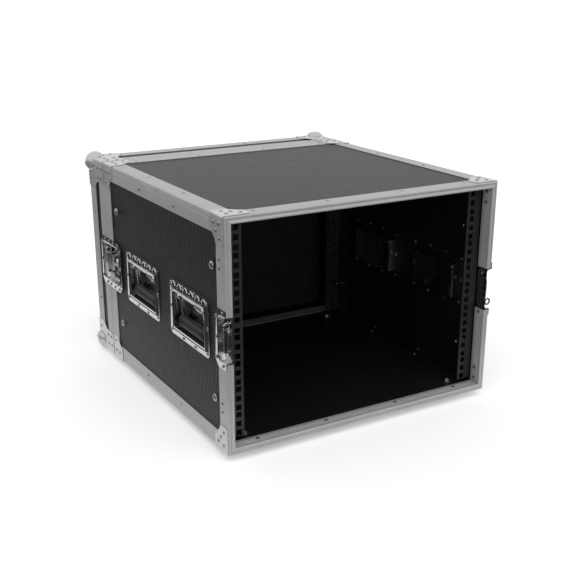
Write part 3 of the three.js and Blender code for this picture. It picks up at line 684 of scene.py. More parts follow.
def lid_edge_profile():
    """Angle round the back edges of the lid."""
    r = EDGE_ROUND
    scores = [FLANGE - mark for mark in reversed(FLANGE_SCORES)]
    return [*scored((LID_END - FLANGE, 0), (LID_END - r, 0), (0, 0.5), scores),
            *arc((LID_END - r, r), r, -90, 0, 4)[1:],
            *scored((LID_END, r + 0.2), (LID_END, FLANGE), (-0.5, 0), FLANGE_SCORES)]


TOP_SIDE = shift(0, 0, HALF_H)
BOTTOM_SIDE = shift(0, 0, -HALF_H) @ Matrix.Rotation(math.pi, 4, "Y")
RIGHT_SIDE = shift(HALF_W, 0, 0) @ Matrix.Rotation(math.pi / 2, 4, "Y")
LEFT_SIDE = shift(-HALF_W, 0, 0) @ Matrix.Rotation(-math.pi / 2, 4, "Y")
FLIP_X = Matrix.Diagonal((-1, 1, 1, 1))
FLIP_Y = Matrix.Diagonal((1, -1, 1, 1))
SIDE_HALVES = {"right_upper": RIGHT_SIDE, "right_lower": RIGHT_SIDE @ FLIP_X,
               "left_upper": LEFT_SIDE @ FLIP_X, "left_lower": LEFT_SIDE}


def frame_of(name, profile, body, node_of, split):
    """Four mitred members round the case; split sides leave room for the latches."""
    long = pattern(member(profile, -HALF_W, HALF_W, (-1, 1)))
    for end, matrix in (("top", TOP_SIDE), ("bottom", BOTTOM_SIDE)):
        set_in(long, f"{name}_{end}", matrix, DRAWN_X, body, [node_of(end)])
    if split:
        half = pattern(member(profile, -HALF_H, -CUT_HALF, (-1,)))
        for end, matrix in SIDE_HALVES.items():
            set_in(half, f"{name}_{end}", matrix, DRAWN_Z, body, [node_of(end)])
    else:
        side = pattern(member(profile, -HALF_H, HALF_H, (-1, 1)))
        for end, matrix in (("right", RIGHT_SIDE), ("left", LEFT_SIDE)):
            set_in(side, f"{name}_{end}", matrix, DRAWN_Z, body, [node_of(end)])


def make_frames():
    frame_of("front_trim", front_profile(), "case_body", lambda end: f"front_frame_{end}", True)
    frame_of("joint_trim", joint_profile(BODY_DEPTH, -1, TONGUE), "case_body",
             lambda end: "body_joint_frame", True)
    frame_of("lid_trim", joint_profile(LID_START, 1, GROOVE), LID,
             lambda end: "lid_joint_frame", True)
    frame_of("lid_back_trim", lid_edge_profile(), LID, lambda end: "lid_edge_frame", False)


def make_inner_strips():
    """The inside flanges that run on unbroken behind the latches."""
    spans = {"joint": (BODY_DEPTH - JOINT_INNER, BODY_DEPTH, "case_body"),
             "lid": (LID_START, LID_START + JOINT_INNER, LID)}
    for name, (near, far, body) in spans.items():
        rows = [((-CUT_HALF - 0.5, y, -LIP), (CUT_HALF + 0.5, y, -LIP)) for y in (near, far)]
        strip = pattern(sheet(rows, (0, 0, -1), ALU))
        for side, matrix in (("right", RIGHT_SIDE), ("left", LEFT_SIDE)):
            set_in(strip, f"{name}_inner_strip_{side}", matrix, DRAWN_Z, body)


def edge_angle():
    """Extruded angle of one long edge, with a rounded corner and scored lines."""
    near, far = [limit.y for limit in limits("edge_angle_top_right")]
    r = ANGLE_ROUND
    top = scored((-FLANGE, 0), (-r, 0), (0, -0.3),
                 [FLANGE - mark - r for mark in reversed(FLANGE_SCORES)])
    corner = arc((-r, -r), r, 90, 0, 5)
    side = scored((0, -r), (0, -FLANGE), (-0.3, 0), [mark - 0.2 for mark in FLANGE_SCORES])
    path = [*top, *corner[1:], *side[1:]]
    rows = [((x, near, z), (x, far, z)) for x, z in path]
    return pattern(sheet(rows, (0, 0, 1), ALU))


def make_edge_angles():
    """The four long edges, with rivets through both flanges and their tails inside."""
    angle = edge_angle()
    across = FLANGE * 0.62
    outside, inside = [], []
    for name in CORNERS:
        set_in(angle, f"edge_trim_{name}", corner_turn(name), DRAWN_Y,
               nodes=[f"edge_angle_{name}"])
        x_sign, z_sign, wall, face = signs(name)
        x, z = x_sign * (HALF_W - across), z_sign * (HALF_H - across)
        for y in (BODY_DEPTH * 0.36, BODY_DEPTH * 0.65):
            outside += [(wall, x_sign * HALF_W, y, z), (face, x, y, z_sign * HALF_H)]
            inside += [(OPPOSITE[wall], x_sign * INSIDE_WALL, y, z),
                       (OPPOSITE[face], x, y, z_sign * (HALF_H - INSIDE))]
    rivets("edge_rivets", outside)
    rivets("edge_rivet_tails", inside, model=TAIL)


# ---------- corner fittings ----------


def wrapped(steps, radius=2.6):
    """Sheet bent over a long edge: (leg, depth) steps from the end of a leg to the corner."""
    top = [((-leg, 0, PLATE_TOP), (-leg, depth, PLATE_TOP)) for leg, depth in steps]
    depth = steps[-1][1]
    centre = (PLATE_TOP - radius, PLATE_TOP - radius)
    corner = [((x, 0, z), (x, depth, z)) for x, z in arc(centre, radius, 90, 0, 5)]
    side = [((PLATE_TOP, 0, -leg), (PLATE_TOP, d, -leg)) for leg, d in reversed(steps)]
    return sheet([*top, *corner, *side], (0, 0, 1))


def both_legs(points):
    """Outline points (leg, depth) on the top leg and on the side leg."""
    return [(-leg, depth, PLATE_TOP) for leg, depth in points] + \
           [(PLATE_TOP, depth, -leg) for leg, depth in points]


BRACE_LEG = 46.0        # length of a leg down its face
BRACE_DEPTH = 44.0      # along the long edge, at the corner
BRACE_TAIL = 26.0       # and at the end of a leg
BRACE_HEAD = 21.2       # how far down a leg it keeps its full depth
BRACE_INSET = 3.0       # back from the lip or the parting line


def corner_brace():
    """Pressed brace over a long edge, with two legs that step in to a narrower end."""
    shoulder = BRACE_HEAD + BRACE_DEPTH - BRACE_TAIL
    piece = wrapped([(BRACE_LEG, BRACE_TAIL), (shoulder, BRACE_TAIL), (BRACE_HEAD, BRACE_DEPTH)])
    round_off(piece, both_legs([(BRACE_LEG, 0), (BRACE_LEG, BRACE_TAIL)]), 5)
    round_off(piece, both_legs([(shoulder, BRACE_TAIL), (BRACE_HEAD, BRACE_DEPTH)]), 3)
    return pattern(thicken(piece, WALL, False))


FRONT_SPOTS = ((13, 12), (32, 13), (12, 35), (23, 24))
REAR_SPOTS = ((11, 14), (29, 14), (11, 35))


def brace_rivets(name, spots, depth_of):
    """Rivets of a brace on both legs, given as (depth from its end, distance down the leg)."""
    x_sign, z_sign, wall, face = signs(name)
    out = []
    for depth, leg in spots:
        y = depth_of(depth)
        out += [(wall, x_sign * (HALF_W + PLATE_TOP), y, z_sign * (HALF_H - leg)),
                (face, x_sign * (HALF_W - leg), y, z_sign * (HALF_H + PLATE_TOP))]
    return out


def make_braces():
    brace = corner_brace()
    rear_end = BODY_DEPTH - BRACE_INSET
    for name in CORNERS:
        turn = corner_turn(name)
        set_in(brace, f"brace_front_{name}", shift(0, BRACE_INSET, 0) @ turn,
               SATIN, nodes=[f"corner_brace_front_{name}"])
        set_in(brace, f"brace_rear_{name}", shift(0, rear_end, 0) @ turn @ FLIP_Y,
               SATIN, nodes=[f"corner_brace_rear_{name}"])
        rivets(f"brace_rivets_front_{name}",
               brace_rivets(name, FRONT_SPOTS, lambda depth: BRACE_INSET + depth))
        rivets(f"brace_rivets_rear_{name}",
               brace_rivets(name, REAR_SPOTS, lambda depth: rear_end - depth))


LID_LEG = 42.0                        # legs of a ball corner, down each face
LID_TAIL = 56.0                       # and of the narrow tails on the sides
LID_TAIL_WIDTH = 28.0
LID_STEP = 44.0                       # width where a tail begins
LID_REACH = LID_END - LID_START - 1   # along the long edge
BACK_CUT = 11.0                       # corners cut off the leg on the back
BALL_R = 20.0
BALL_PROUD = 10.0
BALL_FOOT_R = 17.6                    # pressed line round the foot of the ball


def lid_corner():
    """Ball corner of the lid: sheet over three faces, and a pressed ball on the corner."""
    legs = wrapped([(LID_TAIL, LID_TAIL_WIDTH), (LID_LEG + 1.5, LID_STEP), (LID_LEG, LID_REACH)])
    round_off(legs, both_legs([(LID_TAIL, LID_TAIL_WIDTH)]), 5)
    round_off(legs, both_legs([(LID_TAIL, 0), (LID_LEG, LID_REACH)]), 2)
    thicken(legs, WALL, False)
    y, near, far, cut = -PLATE_TOP, PLATE_TOP - 1, -LID_LEG, -LID_LEG + BACK_CUT
    back = sheet([((near, y, near), (near, y, far)), ((cut, y, near), (cut, y, far)),
                  ((far, y, near), (far, y, cut))], (0, -1, 0))
    thicken(back, WALL)
    soften(back, 0.4, 2, 50)
    ball = start(bpy.ops.mesh.primitive_uv_sphere_add, segments=40, ring_count=24, radius=BALL_R)
    bpy.ops.mesh.select_all(action="SELECT")
    inset = BALL_PROUD - BALL_R
    move((inset, -inset, inset))
    pick("VERT", lambda p: p.x < -1 and p.y > 1 and p.z < -1)
    bpy.ops.mesh.delete(type="VERT")
    thicken(ball, WALL)
    outwards(ball)
    foot = wire([(x + inset, -PLATE_TOP, z + inset)
                 for x, z in arc((0, 0), BALL_FOOT_R, 95, 355, 30)], 0.9)
    return pattern(join(legs, back, ball, foot))


LID_SPOTS = ((11, 40), (11, 26), (30, 13), (52, 14), (69, 14), (52, 33), (69, 33))
BACK_SPOTS = ((30, 13), (13, 30))


def make_lid_corners():
    corner = lid_corner()
    for name in CORNERS:
        matrix = shift(0, LID_END, 0) @ corner_turn(name) @ FLIP_Y
        set_in(corner, f"ball_corner_{name}", matrix, SATIN, LID,
               [f"lid_corner_{name}"])
        rivets(f"ball_corner_rivets_{name}",
               brace_rivets(name, LID_SPOTS, lambda depth: LID_END - depth), LID)
        x_sign, z_sign, *_ = signs(name)
        rivets(f"ball_corner_back_rivets_{name}",
               [("back", x_sign * (HALF_W - across), LID_END + PLATE_TOP, z_sign * (HALF_H - down))
                for across, down in BACK_SPOTS], LID)


# ---------- rack rails ----------

UNIT = 44.45                        # one rack unit
UNIT_HOLES = (6.35, 22.225, 38.1)   # its holes, from its lower end
HOLE_SPAN = 465.1                   # between the two columns of holes
HOLE_HALF = 4.75
RAIL_WALL = 2.0
RAIL_LEG = 32.0                     # along the side panel
RAIL_GAP = 0.25                     # to the side panel
BOLT_BACK = 22.5                    # bolts, behind the face of a rail
BOLT_SHARE = 0.3122                 # bolts above and below the middle, of a rail's height


def rack_rail(width, hole_at, height):
    """A rail as seen from the equipment: x from its free edge, y up, z out of the case."""
    piece = start(bpy.ops.mesh.primitive_plane_add, size=1)
    fit((0, width), (0, UNIT), 0)
    cuts = [((hole_at + half, 0, 0), (1, 0, 0)) for half in (-HOLE_HALF, HOLE_HALF)]
    cuts += [((0, hole + half, 0), (0, 1, 0)) for hole in UNIT_HOLES
             for half in (-HOLE_HALF, HOLE_HALF)]
    for point, normal in cuts:
        bpy.ops.mesh.select_all(action="SELECT")
        bpy.ops.mesh.bisect(plane_co=point, plane_no=normal)
    pick("FACE", lambda p, n: abs(p.x - hole_at) < HOLE_HALF
         and any(abs(p.y - hole) < HOLE_HALF for hole in UNIT_HOLES))
    bpy.ops.mesh.delete(type="FACE")
    units = round(height / UNIT)
    refine(piece, "ARRAY", count=units, use_relative_offset=False, use_constant_offset=True,
           constant_offset_displace=(0, UNIT, 0), use_merge_vertices=True, merge_threshold=0.01)
    reopen(piece)
    pick("EDGE", lambda p: p.x > width - 0.01)
    extrude((0, 0, -RAIL_LEG))
    pick("EDGE", lambda p: p.x > width - 0.01 and p.z > -0.01)
    bpy.ops.mesh.bevel(offset=2.4, segments=3, affect="EDGES")
    return pattern(thicken(piece, RAIL_WALL))


def make_rails():
    low, high = limits("rack_rail_front_right")
    height = high.z - low.z
    rail = rack_rail(INSIDE_WALL - RAIL_GAP - low.x, HOLE_SPAN / 2 - low.x, height)
    seats = {"front": (low.y, UP), "rear": (limits("rack_rail_rear_right")[1].y, FLIP_Y)}
    for end, (face, flip) in seats.items():
        for side, sign in SIDES.items():
            turn = UP if sign > 0 else FLIP_X
            base = shift(0, face, 0) @ flip @ turn
            matrix = base @ columns((1, 0, 0), (0, 0, 1), (0, -1, 0), (low.x, 0, low.z))
            set_in(rail, f"rail_{end}_{side}", matrix, COAT,
                   nodes=[f"rack_rail_{end}_{side}"])
            y = face + BOLT_BACK * (1 if end == "front" else -1)
            make_rail_bolts(f"{end}_{side}", side, sign, y, height)


def make_rail_bolts(name, side, sign, y, height):
    """Two bolts from outside the panel through a rail, with their nuts inside the case."""
    heights = (-height * BOLT_SHARE, height * BOLT_SHARE)
    heads = [at(side, sign * (HALF_W - PANEL + 0.1), y, z) for z in heights]
    row_of(HEAD, f"rail_bolts_{name}", heads, ZINC)
    inner = INSIDE_WALL - RAIL_WALL - 0.3
    nuts = [at(OPPOSITE[side], sign * inner, y, z) for z in heights]
    row_of(NUT, f"rail_nuts_{name}", nuts, ZINC)
    row_of(BOLT_END, f"rail_bolt_ends_{name}", [m @ shift(0, 0, 2) for m in nuts],
           ZINC)


# ---------- feet ----------

FOOT_SCREW_DEEP = 5.0     # head of a foot's screw, up from the tread
FOOT_SCREW_SIZE = Matrix.Diagonal((0.85, 0.85, 0.85, 1))
WASHER_THICK = 1.2


def rubber_foot(radius, height):
    """Tapered rubber foot, with the recess for its screw in the tread."""
    profile = [(radius - 0.6, 0), (radius, 0.6), (radius, 2.2), (radius - 0.4, 2.6),
               (radius - 2, height - 1.2), (radius - 3.2, height), (7.2, height),
               (6.8, height - 0.5), (6.6, height - 5), (3.2, height - 5.2)]
    return pattern(turned(profile, 40))


def make_feet():
    low, high = limits("foot_front_right")
    radius = (high.x - low.x) / 2
    height = -HALF_H - low.z - SEAT
    foot = rubber_foot(radius, height)
    floor = -HALF_H + INSIDE
    for end in ("front", "rear"):
        for side in SIDES:
            low, high = limits(f"foot_{end}_{side}")
            x, y = (low.x + high.x) / 2, (low.y + high.y) / 2
            name = f"{end}_{side}"
            set_in(foot, f"rubber_foot_{name}", at("bottom", x, y, low.z + height), FOOT,
                   nodes=[f"foot_{name}"])
            set_in(HEAD, f"foot_screw_{name}",
                   at("bottom", x, y, low.z + FOOT_SCREW_DEEP) @ FOOT_SCREW_SIZE, ZINC)
            set_in(WASHER, f"foot_washer_{name}", at("top", x, y, floor), ZINC)
            set_in(THIN_NUT, f"foot_nut_{name}", at("top", x, y, floor + WASHER_THICK), ZINC)
            set_in(THREAD, f"foot_bolt_end_{name}", at("top", x, y, floor), ZINC)


# ---------- handles ----------

PLATE = (76.0, 50.5)
PLATE_CORNER = 9.0
POCKET = (60.0, 28.0, -38.0)      # half width, top and bottom of the opening
POCKET_DEPTH = 20.0
RIDGE = 3.2                       # raised rim round the opening
ARCHES = 6                        # pressed arches in a row above the opening
ARCH_PITCH = 23.5
ARCH_UP = 37.5
ARCH_R = 7.6
HINGE_UP = 21.0
HINGE_DEEP = 5.5                  # below the face of the panel
GRIP_UP = -24.6
GRIP_TALL = 1.38                  # the grip is oval, taller than it is deep
GRIP_DEEP = 10.0
GRIP_R = 8.5
GRIP_HALF = 52.0
ARM_AT = 46.0
ARM_BEND = 5.0
ARM_R = 2.8


def handle_dish():
    """Pressed dish: flat flange, a ridge round the opening and a rounded pan."""
    wide, top, bottom = POCKET
    piece = start(bpy.ops.mesh.primitive_plane_add, size=2)
    fit((-PLATE[0], PLATE[0]), (-PLATE[1], PLATE[1]), PLATE_TOP)
    bpy.ops.mesh.bevel(offset=PLATE_CORNER, segments=6, affect="VERTICES")
    bpy.ops.mesh.select_all(action="SELECT")
    bpy.ops.mesh.inset(thickness=1.5)
    bpy.ops.mesh.inset(thickness=0.8)
    fit((-wide - 9, wide + 9), (bottom - 8, top + 9), PLATE_TOP)
    press([(5, RIDGE * 0.8), (3, RIDGE), (1.2, RIDGE * 0.85), (0, RIDGE * 0.3),
           (-0.6, -POCKET_DEPTH * 0.6), (-2.5, -POCKET_DEPTH * 0.88), (-7, -POCKET_DEPTH)],
          wide, bottom, top, 0.8)
    thicken(piece, WALL)
    arches = []
    for number in range(ARCHES):
        middle = ((number - (ARCHES - 1) / 2) * ARCH_PITCH, ARCH_UP)
        path = [(x, y, PLATE_TOP + 0.2) for x, y in arc(middle, ARCH_R, -20, 200, 14)]
        arches.append(wire(path, 1.2, 1))
    bar = wire([(-wide + 0.4, HINGE_UP, -HINGE_DEEP), (wide - 0.4, HINGE_UP, -HINGE_DEEP)], 2.0)
    brackets = []
    for middle in (3 - wide, wide - 3):
        lug = block((middle - 1.6, HINGE_UP - 5, -POCKET_DEPTH + 1),
                    (middle + 1.6, HINGE_UP + 4.5, -1.5))
        brackets.append(soften(lug, 0.7))
    stop = soften(block((-wide + 0.6, bottom + 1, -9), (-wide + 7, bottom + 8.5, -0.4)), 1.2)
    return pattern(join(piece, *arches, bar, *brackets, stop))


def coil_spring():
    """Return spring round the hinge, with its two straight ends."""
    turns, steps, radius = 11, 10, 3.5
    first, last = -38.0, -12.0
    points = [(first - 4, HINGE_UP - 9, -HINGE_DEEP - 3.4)]
    for i in range(turns * steps + 1):
        angle = 2 * math.pi * i / steps - math.pi / 2
        points.append((first + (last - first) * i / (turns * steps),
                       HINGE_UP + radius * math.cos(angle),
                       -HINGE_DEEP + radius * math.sin(angle)))
    points.append((last + 5, HINGE_UP - 9, -HINGE_DEEP - 3.4))
    return pattern(wire(points, 0.75, 1))


def bail():
    """Steel bail: an eye round the hinge at each end, and an arm into each end of the grip."""
    parts = []
    lean = (GRIP_DEEP - HINGE_DEEP) / (HINGE_UP - GRIP_UP)
    bend = arc((ARM_AT - ARM_BEND, GRIP_UP + ARM_BEND), ARM_BEND, 0, -90, 5)
    for side in (-1, 1):
        eye = turned([(2.4, -4), (4.6, -4), (4.9, -3.7), (4.9, 3.7), (4.6, 4), (2.4, 4)], 20)
        eye.data.transform(columns((0, 1, 0), (0, 0, 1), (1, 0, 0),
                                   (side * ARM_AT, HINGE_UP, -HINGE_DEEP)))
        path = [(side * ARM_AT, HINGE_UP - 3.6, -HINGE_DEEP - 3.6 * lean)]
        path += [(side * x, y, -HINGE_DEEP - (HINGE_UP - y) * lean) for x, y in bend]
        path.append((side * (ARM_AT - 12), GRIP_UP, -GRIP_DEEP))
        parts += [eye, wire(path, ARM_R, 3)]
    return pattern(join(*parts))


def grip():
    """Fat moulded grip of oval section, with a moulding ring near each end."""
    neck = GRIP_R - 0.7
    rings = [(4.6, 0), (6.8, 0.6), (8.0, 2.4), (GRIP_R, 5), (GRIP_R, 9), (neck, 9.6), (neck, 11),
             (GRIP_R, 11.6)]
    ends = [(r, along - GRIP_HALF) for r, along in rings]
    profile = [*ends, *[(r, -height) for r, height in reversed(ends)]]
    piece = turned(profile, 32)
    piece.data.transform(columns((0, GRIP_TALL, 0), (0, 0, 1), (1, 0, 0),
                                 (0, GRIP_UP, -GRIP_DEEP)))
    return pattern(piece)


HANDLE_RIVETS = ((-69, 41), (69, 41), (-69, -43), (69, -43), (-23, 44), (23, 44), (-23, -46.4),
                 (23, -46.4), (-71, 0), (71, 0))


def make_handles():
    dish, spring, arms, hold = handle_dish(), coil_spring(), bail(), grip()
    for end, depth in HANDLE_YS.items():
        for side in SIDES:
            name = f"{end}_{side}"
            spot = at_wall(side, depth) @ shift(0, 0, -PANEL)
            set_in(dish, f"handle_pan_{name}", spot, PLATED,
                   nodes=[f"handle_dish_{name}"])
            set_in(spring, f"handle_spring_{name}", spot, ZINC)
            set_in(arms, f"handle_bail_{name}", spot, PLATED, f"handle_{name}",
                   [f"handle_grip_{name}"])
            set_in(hold, f"handle_hold_{name}", spot, GRIP, f"handle_{name}",
                   [f"handle_grip_{name}"])
            plate_rivets(f"handle_rivets_{name}", spot, HANDLE_RIVETS)
            row_of(TAIL, f"handle_rivet_tails_{name}",
                   [spot @ shift(u, v, PANEL - INSIDE) @ FACING["bottom"]
                    for u, v in HANDLE_RIVETS], ZINC)


# ---------- latches ----------

LATCH_HALF = 49.0
LATCH_CHAMFER = 11.0
LATCH_POCKET = (37.0, 9.0)        # half height and depth
BODY_PLATE, BODY_POCKET = 68.0, 57.0
STRIKE_PLATE, STRIKE_POCKET = 38.0, 27.0
AXIS_BACK = 33.0
WING_DEEP = 2.7


def half_dish(plate, pocket, edge):
    """Half of a latch dish, open at the parting line, at u from edge to plate."""
    half, deep = LATCH_POCKET
    piece = start(bpy.ops.mesh.primitive_plane_add, size=2)
    fit((-plate, plate), (-LATCH_HALF, LATCH_HALF), PLATE_TOP)
    bpy.ops.mesh.bevel(offset=LATCH_CHAMFER, segments=1, affect="VERTICES")
    bpy.ops.mesh.select_all(action="SELECT")
    bpy.ops.mesh.inset(thickness=1.2)
    press([(3.4, PLATE_TOP), (1.6, PLATE_TOP + 0.8), (0, PLATE_TOP - 0.2), (-0.6, -deep * 0.62),
           (-2, -deep * 0.92), (-4.5, -deep)], pocket, -half, half, 0.6)
    slice_off((edge, 0, 0), (-1, 0, 0), False)
    return thicken(piece, WALL)


def padlock_eye():
    """Eye of the strike: a ring on a strap that rises from the floor of the pocket."""
    ring = start(bpy.ops.mesh.primitive_circle_add, vertices=28, radius=7, fill_type="NGON")
    bpy.ops.mesh.select_all(action="SELECT")
    bpy.ops.mesh.inset(thickness=3.4)
    bpy.ops.mesh.delete(type="FACE")
    thicken(ring, 2.0)
    soften(ring, 0.6, 2, 50)
    ring.data.transform(columns((0, 1, 0), (0, 0, 1), (1, 0, 0), (3.6, -24, -2.5)))
    strap = soften(block((1.6, -30, -9.4), (3.6, -18, -6.4)), 0.5)
    return [ring, strap]


def catch():
    """Folded catch that the hook draws on."""
    tab = block((4, -17.5, -9.6), (6, 17.5, -4))
    pick("EDGE", lambda p: abs(p.y) > 17 and p.z > -4.1)
    soften(tab, 0.7)
    foot = soften(block((4.5, -17.5, -9.2), (13, 17.5, -8.2)), 0.4)
    tabs = [soften(block((8, side * 24 - 4, -9.2), (18, side * 24 + 4, -8.0)), 0.5)
            for side in (-1, 1)]
    return [tab, foot, *tabs]


def strike():
    return pattern(join(half_dish(STRIKE_PLATE, STRIKE_POCKET, PARTING), *catch(),
                        *padlock_eye()))


def body_dish():
    """Dish of the latch on the body, from the parting line forward."""
    half = half_dish(BODY_PLATE, BODY_POCKET, PARTING / 2)
    half.data.transform(FLIP_X)
    half.data.flip_normals()
    guides = [soften(block((-47, middle - 1.6, -9.1), (-18, middle + 1.6, -7.2)), 0.5)
              for middle in (-18.6, 18.6)]
    return pattern(join(half, *guides))


def hook():
    """Sliding hook: flat tail with a slot for the pin, a step out, and a nose."""
    tail = -LATCH_POCKET[1] + 0.3 + WALL
    arm = tail + 5.6
    end, tip, side = -52, 9.5, 16.0
    path = [(end, tail), (-11.6, tail), (-10.2, arm), (tip, arm), (tip, arm - WALL - 0.5)]
    piece = sheet([((u, -side, w), (u, side, w)) for u, w in path], (0, 0, 1))
    round_off(piece, [(end, -side, tail), (end, side, tail)], 5)
    reopen(piece)
    slot_near, slot_far, slot_half = -45.5, -28.5, 4.5
    for point, normal in (((slot_near, 0, 0), (1, 0, 0)), ((slot_far, 0, 0), (1, 0, 0)),
                          ((0, slot_half, 0), (0, 1, 0)), ((0, -slot_half, 0), (0, 1, 0))):
        bpy.ops.mesh.select_all(action="SELECT")
        bpy.ops.mesh.bisect(plane_co=point, plane_no=normal)
    pick("FACE", lambda p, n: slot_near < p.x < slot_far and abs(p.y) < slot_half
         and p.z < tail + 0.1)
    bpy.ops.mesh.delete(type="FACE")
    thicken(piece, WALL)
    return pattern(soften(piece, 0.25, 1, 50))


def rotor():
    """Turning disc with its two lugs, origin on its axis."""
    disc = turned([(12.6, -7.2), (13, -6.9), (13, -4.6), (12.6, -4.2), (11, -4.2), (10.4, -4.5),
                   (4.5, -4.5), (4.2, -4.2), (2, -4.2)], 36)
    pin = turned([(3.8, -8.6), (3.8, -7)], 20)
    lugs = [soften(block((middle - 1.1, -2.2, -5), (middle + 1.1, 2.2, -0.9)), 0.6)
            for middle in (-11.6, 11.6)]
    return pattern(join(disc, pin, *lugs))


def wing():
    """Folding wing: a ring of sheet with a shaped outline and a finger hole."""
    wall = 1.6
    top = -WING_DEEP + wall / 2
    outline = [(0, 9.5), (3.4, 9.5), (5.5, 15), (13, 15), (20, 9)]
    rows = [((-half, v, top), (half, v, top)) for v, half in outline]
    piece = sheet(rows, (0, 0, 1))
    round_off(piece, [(side * half, v, top) for v, half in outline[2:] for side in (-1, 1)], 2.6)
    reopen(piece)
    bpy.ops.mesh.dissolve_limited(angle_limit=0.02)
    bpy.ops.mesh.select_all(action="SELECT")
    thicken(piece, wall)
    drill = turned([(5, top - 3), (5, top + 2)], 28)
    drill.data.transform(shift(0, 10.5, 0))
    refine(piece, "BOOLEAN", object=drill, operation="DIFFERENCE", solver="EXACT")
    bpy.data.objects.remove(drill)
    soften(piece, 0.45, 2, 50)
    barrel = wire([(-9.5, 0, -WING_DEEP), (9.5, 0, -WING_DEEP)], 1.3)
    pin = wire([(-12.4, 0, -WING_DEEP), (12.4, 0, -WING_DEEP)], 0.6)
    return pattern(join(piece, barrel, pin))


BODY_LATCH_RIVETS = ((-63, 34), (-63, -34), (-63, 0), (-30, 43.4), (-30, -43.4), (-52, 43.4),
                     (-52, -43.4), (-8, 43.4), (-8, -43.4))
STRIKE_RIVETS = ((32.5, 34), (32.5, -34), (32.5, 0), (11, 43.4), (11, -43.4))


def make_latches():
    far, near = strike(), body_dish()
    movers = (("slide", "hook", hook()), ("disc", "rotor", rotor()), ("key", "wing", wing()))
    for side in SIDES:
        front = at_wall(side, 0, True)
        spot = at_wall(side, BODY_DEPTH, True)
        axis = spot @ shift(-AXIS_BACK, 0, 0)
        set_in(far, f"strike_front_{side}", front, PLATED,
               nodes=[f"front_strike_{side}"])
        plate_rivets(f"strike_rivets_front_{side}", front, STRIKE_RIVETS)
        set_in(far, f"strike_lid_{side}", spot, PLATED, LID, [f"lid_strike_{side}"])
        plate_rivets(f"strike_rivets_lid_{side}", spot, STRIKE_RIVETS, LID)
        set_in(near, f"latch_pan_{side}", spot, PLATED, nodes=[f"latch_dish_{side}"])
        plate_rivets(f"latch_rivets_{side}", spot, BODY_LATCH_RIVETS)
        for piece, body, model in movers:
            set_in(model, f"latch_{piece}_{side}", spot if body == "hook" else axis, PLATED,
                   f"latch_{body}_{side}", [f"latch_{body}_{side}"])


# ---------- lid and panels ----------


def make_foam():
    """Foam sheet glued inside the lid, with a softly worn edge."""
    low, high = limits("lid_foam")
    piece = block(low, high)
    bpy.ops.mesh.subdivide(number_cuts=6)
    soften(piece, 1.6, 2, 60)
    pad = name_piece(copy_of(pattern(piece), UP), "foam_pad", LID, FOAM, ["lid_foam"])


def finish_panels():
    for name in ("top_panel", "bottom_panel", "left_panel", "right_panel", "lid_walls",
                 "lid_back_panel"):
        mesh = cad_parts[name].data
        mesh.materials.clear()
        mesh.materials.append(LAMINATE)


FRAME_RIVETS_Z = (-154.0, -45.0, 29.0, 157.0, 177.0, -175.0)
FRAME_RIVETS_X = (-205.0, -72.0, 72.0, 205.0)
LID_RIVETS_Z = (-90, 90)
FLANGE_MIDDLE = 20        # rivets on a flange, from its corner
LIP_MIDDLE = 13           # rivets on the flange inside the front opening, from the lip
LATCH_CLEAR = 60          # no rivets nearer to mid height on the sides


def make_frame_rivets():
    """Rivets that hold the front frame and the lid's back angle."""
    walls = (("right", HALF_W), ("left", -HALF_W))
    spots, back = [], []
    for z in FRAME_RIVETS_Z:
        spots += [("right", -HALF_W + LIP, LIP_MIDDLE, z), ("left", HALF_W - LIP, LIP_MIDDLE, z)]
        if abs(z) > LATCH_CLEAR:
            spots += [(wall, x, FLANGE_MIDDLE, z * 0.72) for wall, x in walls]
    end = LID_END - FLANGE_MIDDLE
    for x in FRAME_RIVETS_X:
        spots += [("top", x, FLANGE_MIDDLE, HALF_H), ("bottom", x, FLANGE_MIDDLE, -HALF_H),
                  ("top", x, BODY_DEPTH - FLANGE_MIDDLE, HALF_H),
                  ("top", x, LIP_MIDDLE, -HALF_H + LIP)]
        back += [("top", x, LID_START + 21, HALF_H), ("top", x, end, HALF_H),
                 ("back", x, LID_END, HALF_H - FLANGE_MIDDLE),
                 ("back", x, LID_END, -HALF_H + FLANGE_MIDDLE), ("bottom", x, end, -HALF_H)]
    rivets("frame_rivets", spots)
    rivets("lid_rivets", back, LID)
    rivets("lid_side_rivets", [(wall, x, end, z) for wall, x in walls for z in LID_RIVETS_Z], LID)


# ---------- studio ----------

AMBIENT = 0.55                    # world light on the object
SUN = 1.3
SUN_SPREAD = 60                   # degrees
SUN_TURN = (28, -12)              # degrees, to the front and to the side
CARD_GREY = 0.05
FLOOR_HALF = 60                   # metres
FLOOR_GREY = 0.88
FLOOR_GLOW = 0.3                  # keeps the floor white to the camera, with its shadow


def shown_rays(tree):
    """1 for the rays that show the backdrop: to the camera, off metal and through glass."""
    path = tree.nodes.new("ShaderNodeLightPath")
    camera, glossy, clear = [Flow(tree, path.outputs[key]) for key in
                             ("Is Camera Ray", "Is Glossy Ray", "Is Transmission Ray")]
    return camera.math("MAXIMUM", glossy).math("MAXIMUM", clear)


def pale_floor():
    material, place = finish("studio_floor", FLOOR_GREY, 0.95, Specular_IOR_Level=0.0,
                             Emission_Strength=1.0)
    shown = shown_rays(place.tree) * FLOOR_GLOW
    grey = place.node("ShaderNodeCombineColor", None, {0: shown, 1: shown, 2: shown})
    feed(grey, "Emission Color")
    return material


def make_floor():
    floor = start(bpy.ops.mesh.primitive_plane_add, size=2)
    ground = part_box("foot_front_right")[0].z
    resize((FLOOR_HALF, FLOOR_HALF, 1), (0, 0, 0))
    move((0, 0, ground - 0.0004))
    take(floor)
    bpy.ops.object.transform_apply(location=True, rotation=True, scale=True)
    floor.name = "studio_floor"
    floor.data.materials.append(pale_floor())
    return floor


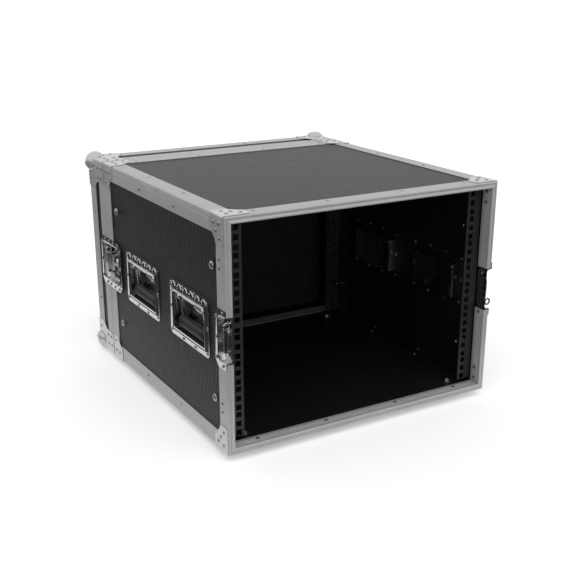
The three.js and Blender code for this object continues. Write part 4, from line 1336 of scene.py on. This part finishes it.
CARD = finish("card_grey", CARD_GREY, 0.9, Specular_IOR_Level=0.0)[0]
CARD_EDGE = (-0.452, -0.46)       # where the cards end beside the case and before it


def dark_card(name, low, high):
    """A grey card that only polished surfaces see, so that they show some contrast."""
    card = start(bpy.ops.mesh.primitive_plane_add, size=2)
    low, high = Vector(low), Vector(high)
    size, middle = (high - low) / 2, (low + high) / 2
    if size.x == 0:
        bpy.ops.transform.rotate(value=math.pi / 2, orient_axis="Y", center_override=(0, 0, 0))
    resize([max(s, 0.001) for s in size], (0, 0, 0))
    move(middle)
    fresh()
    card.name = name
    card.data.materials.append(CARD)
    card.visible_camera = False
    card.visible_diffuse = False
    card.visible_shadow = False


def make_cards():
    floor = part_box("foot_front_right")[0].z + 0.001
    dark_card("card_left", (-4.0, -3.0, floor), (CARD_EDGE[0], 4.0, floor))
    dark_card("card_front", (-0.44, -4.0, floor), (2.4, CARD_EDGE[1], floor))
    dark_card("card_left_wall", (-4.0, -3.0, floor), (-4.0, 4.0, 1.1))


def make_world():
    world = bpy.data.worlds.new("studio")
    bpy.context.scene.world = world
    world.use_nodes = True
    tree = world.node_tree
    light = tree.nodes["Background"]
    strength = shown_rays(tree) * (1.0 - AMBIENT) + AMBIENT
    light.inputs["Color"].default_value = (1, 1, 1, 1)
    tree.links.new(strength.socket, light.inputs["Strength"])


CAMERA_AT = Vector((-0.86463, -1.51156, 0.73093))
CAMERA_YAW = 0.53379
CAMERA_PITCH = 0.34478
CAMERA_ROLL = -0.0019
LENS = 58.27
SHIFT_UP = 0.045


def make_camera():
    data = bpy.data.cameras.new("camera")
    data.lens = LENS
    data.sensor_width = 36
    data.shift_y = SHIFT_UP
    camera = bpy.data.objects.new("camera", data)
    bpy.context.scene.collection.objects.link(camera)
    camera.location = CAMERA_AT
    camera.rotation_euler = (math.pi / 2 - CAMERA_PITCH, CAMERA_ROLL, -CAMERA_YAW)
    bpy.context.scene.camera = camera


def make_lights():
    """One broad, soft light from above and a little in front."""
    data = bpy.data.lights.new("softbox", "SUN")
    data.energy = SUN
    data.angle = math.radians(SUN_SPREAD)
    lamp = bpy.data.objects.new("softbox", data)
    bpy.context.scene.collection.objects.link(lamp)
    lamp.rotation_euler = (*map(math.radians, SUN_TURN), 0)
    lamp.visible_glossy = False


make_frames()
make_inner_strips()
make_edge_angles()
make_braces()
make_lid_corners()
make_rails()
make_feet()
make_handles()
make_latches()
make_foam()
finish_panels()
make_frame_rivets()
for template in PATTERNS:
    bpy.data.objects.remove(template)

make_floor()
make_cards()
make_world()
make_camera()
make_lights()
bpy.context.scene.view_settings.view_transform = "Standard"
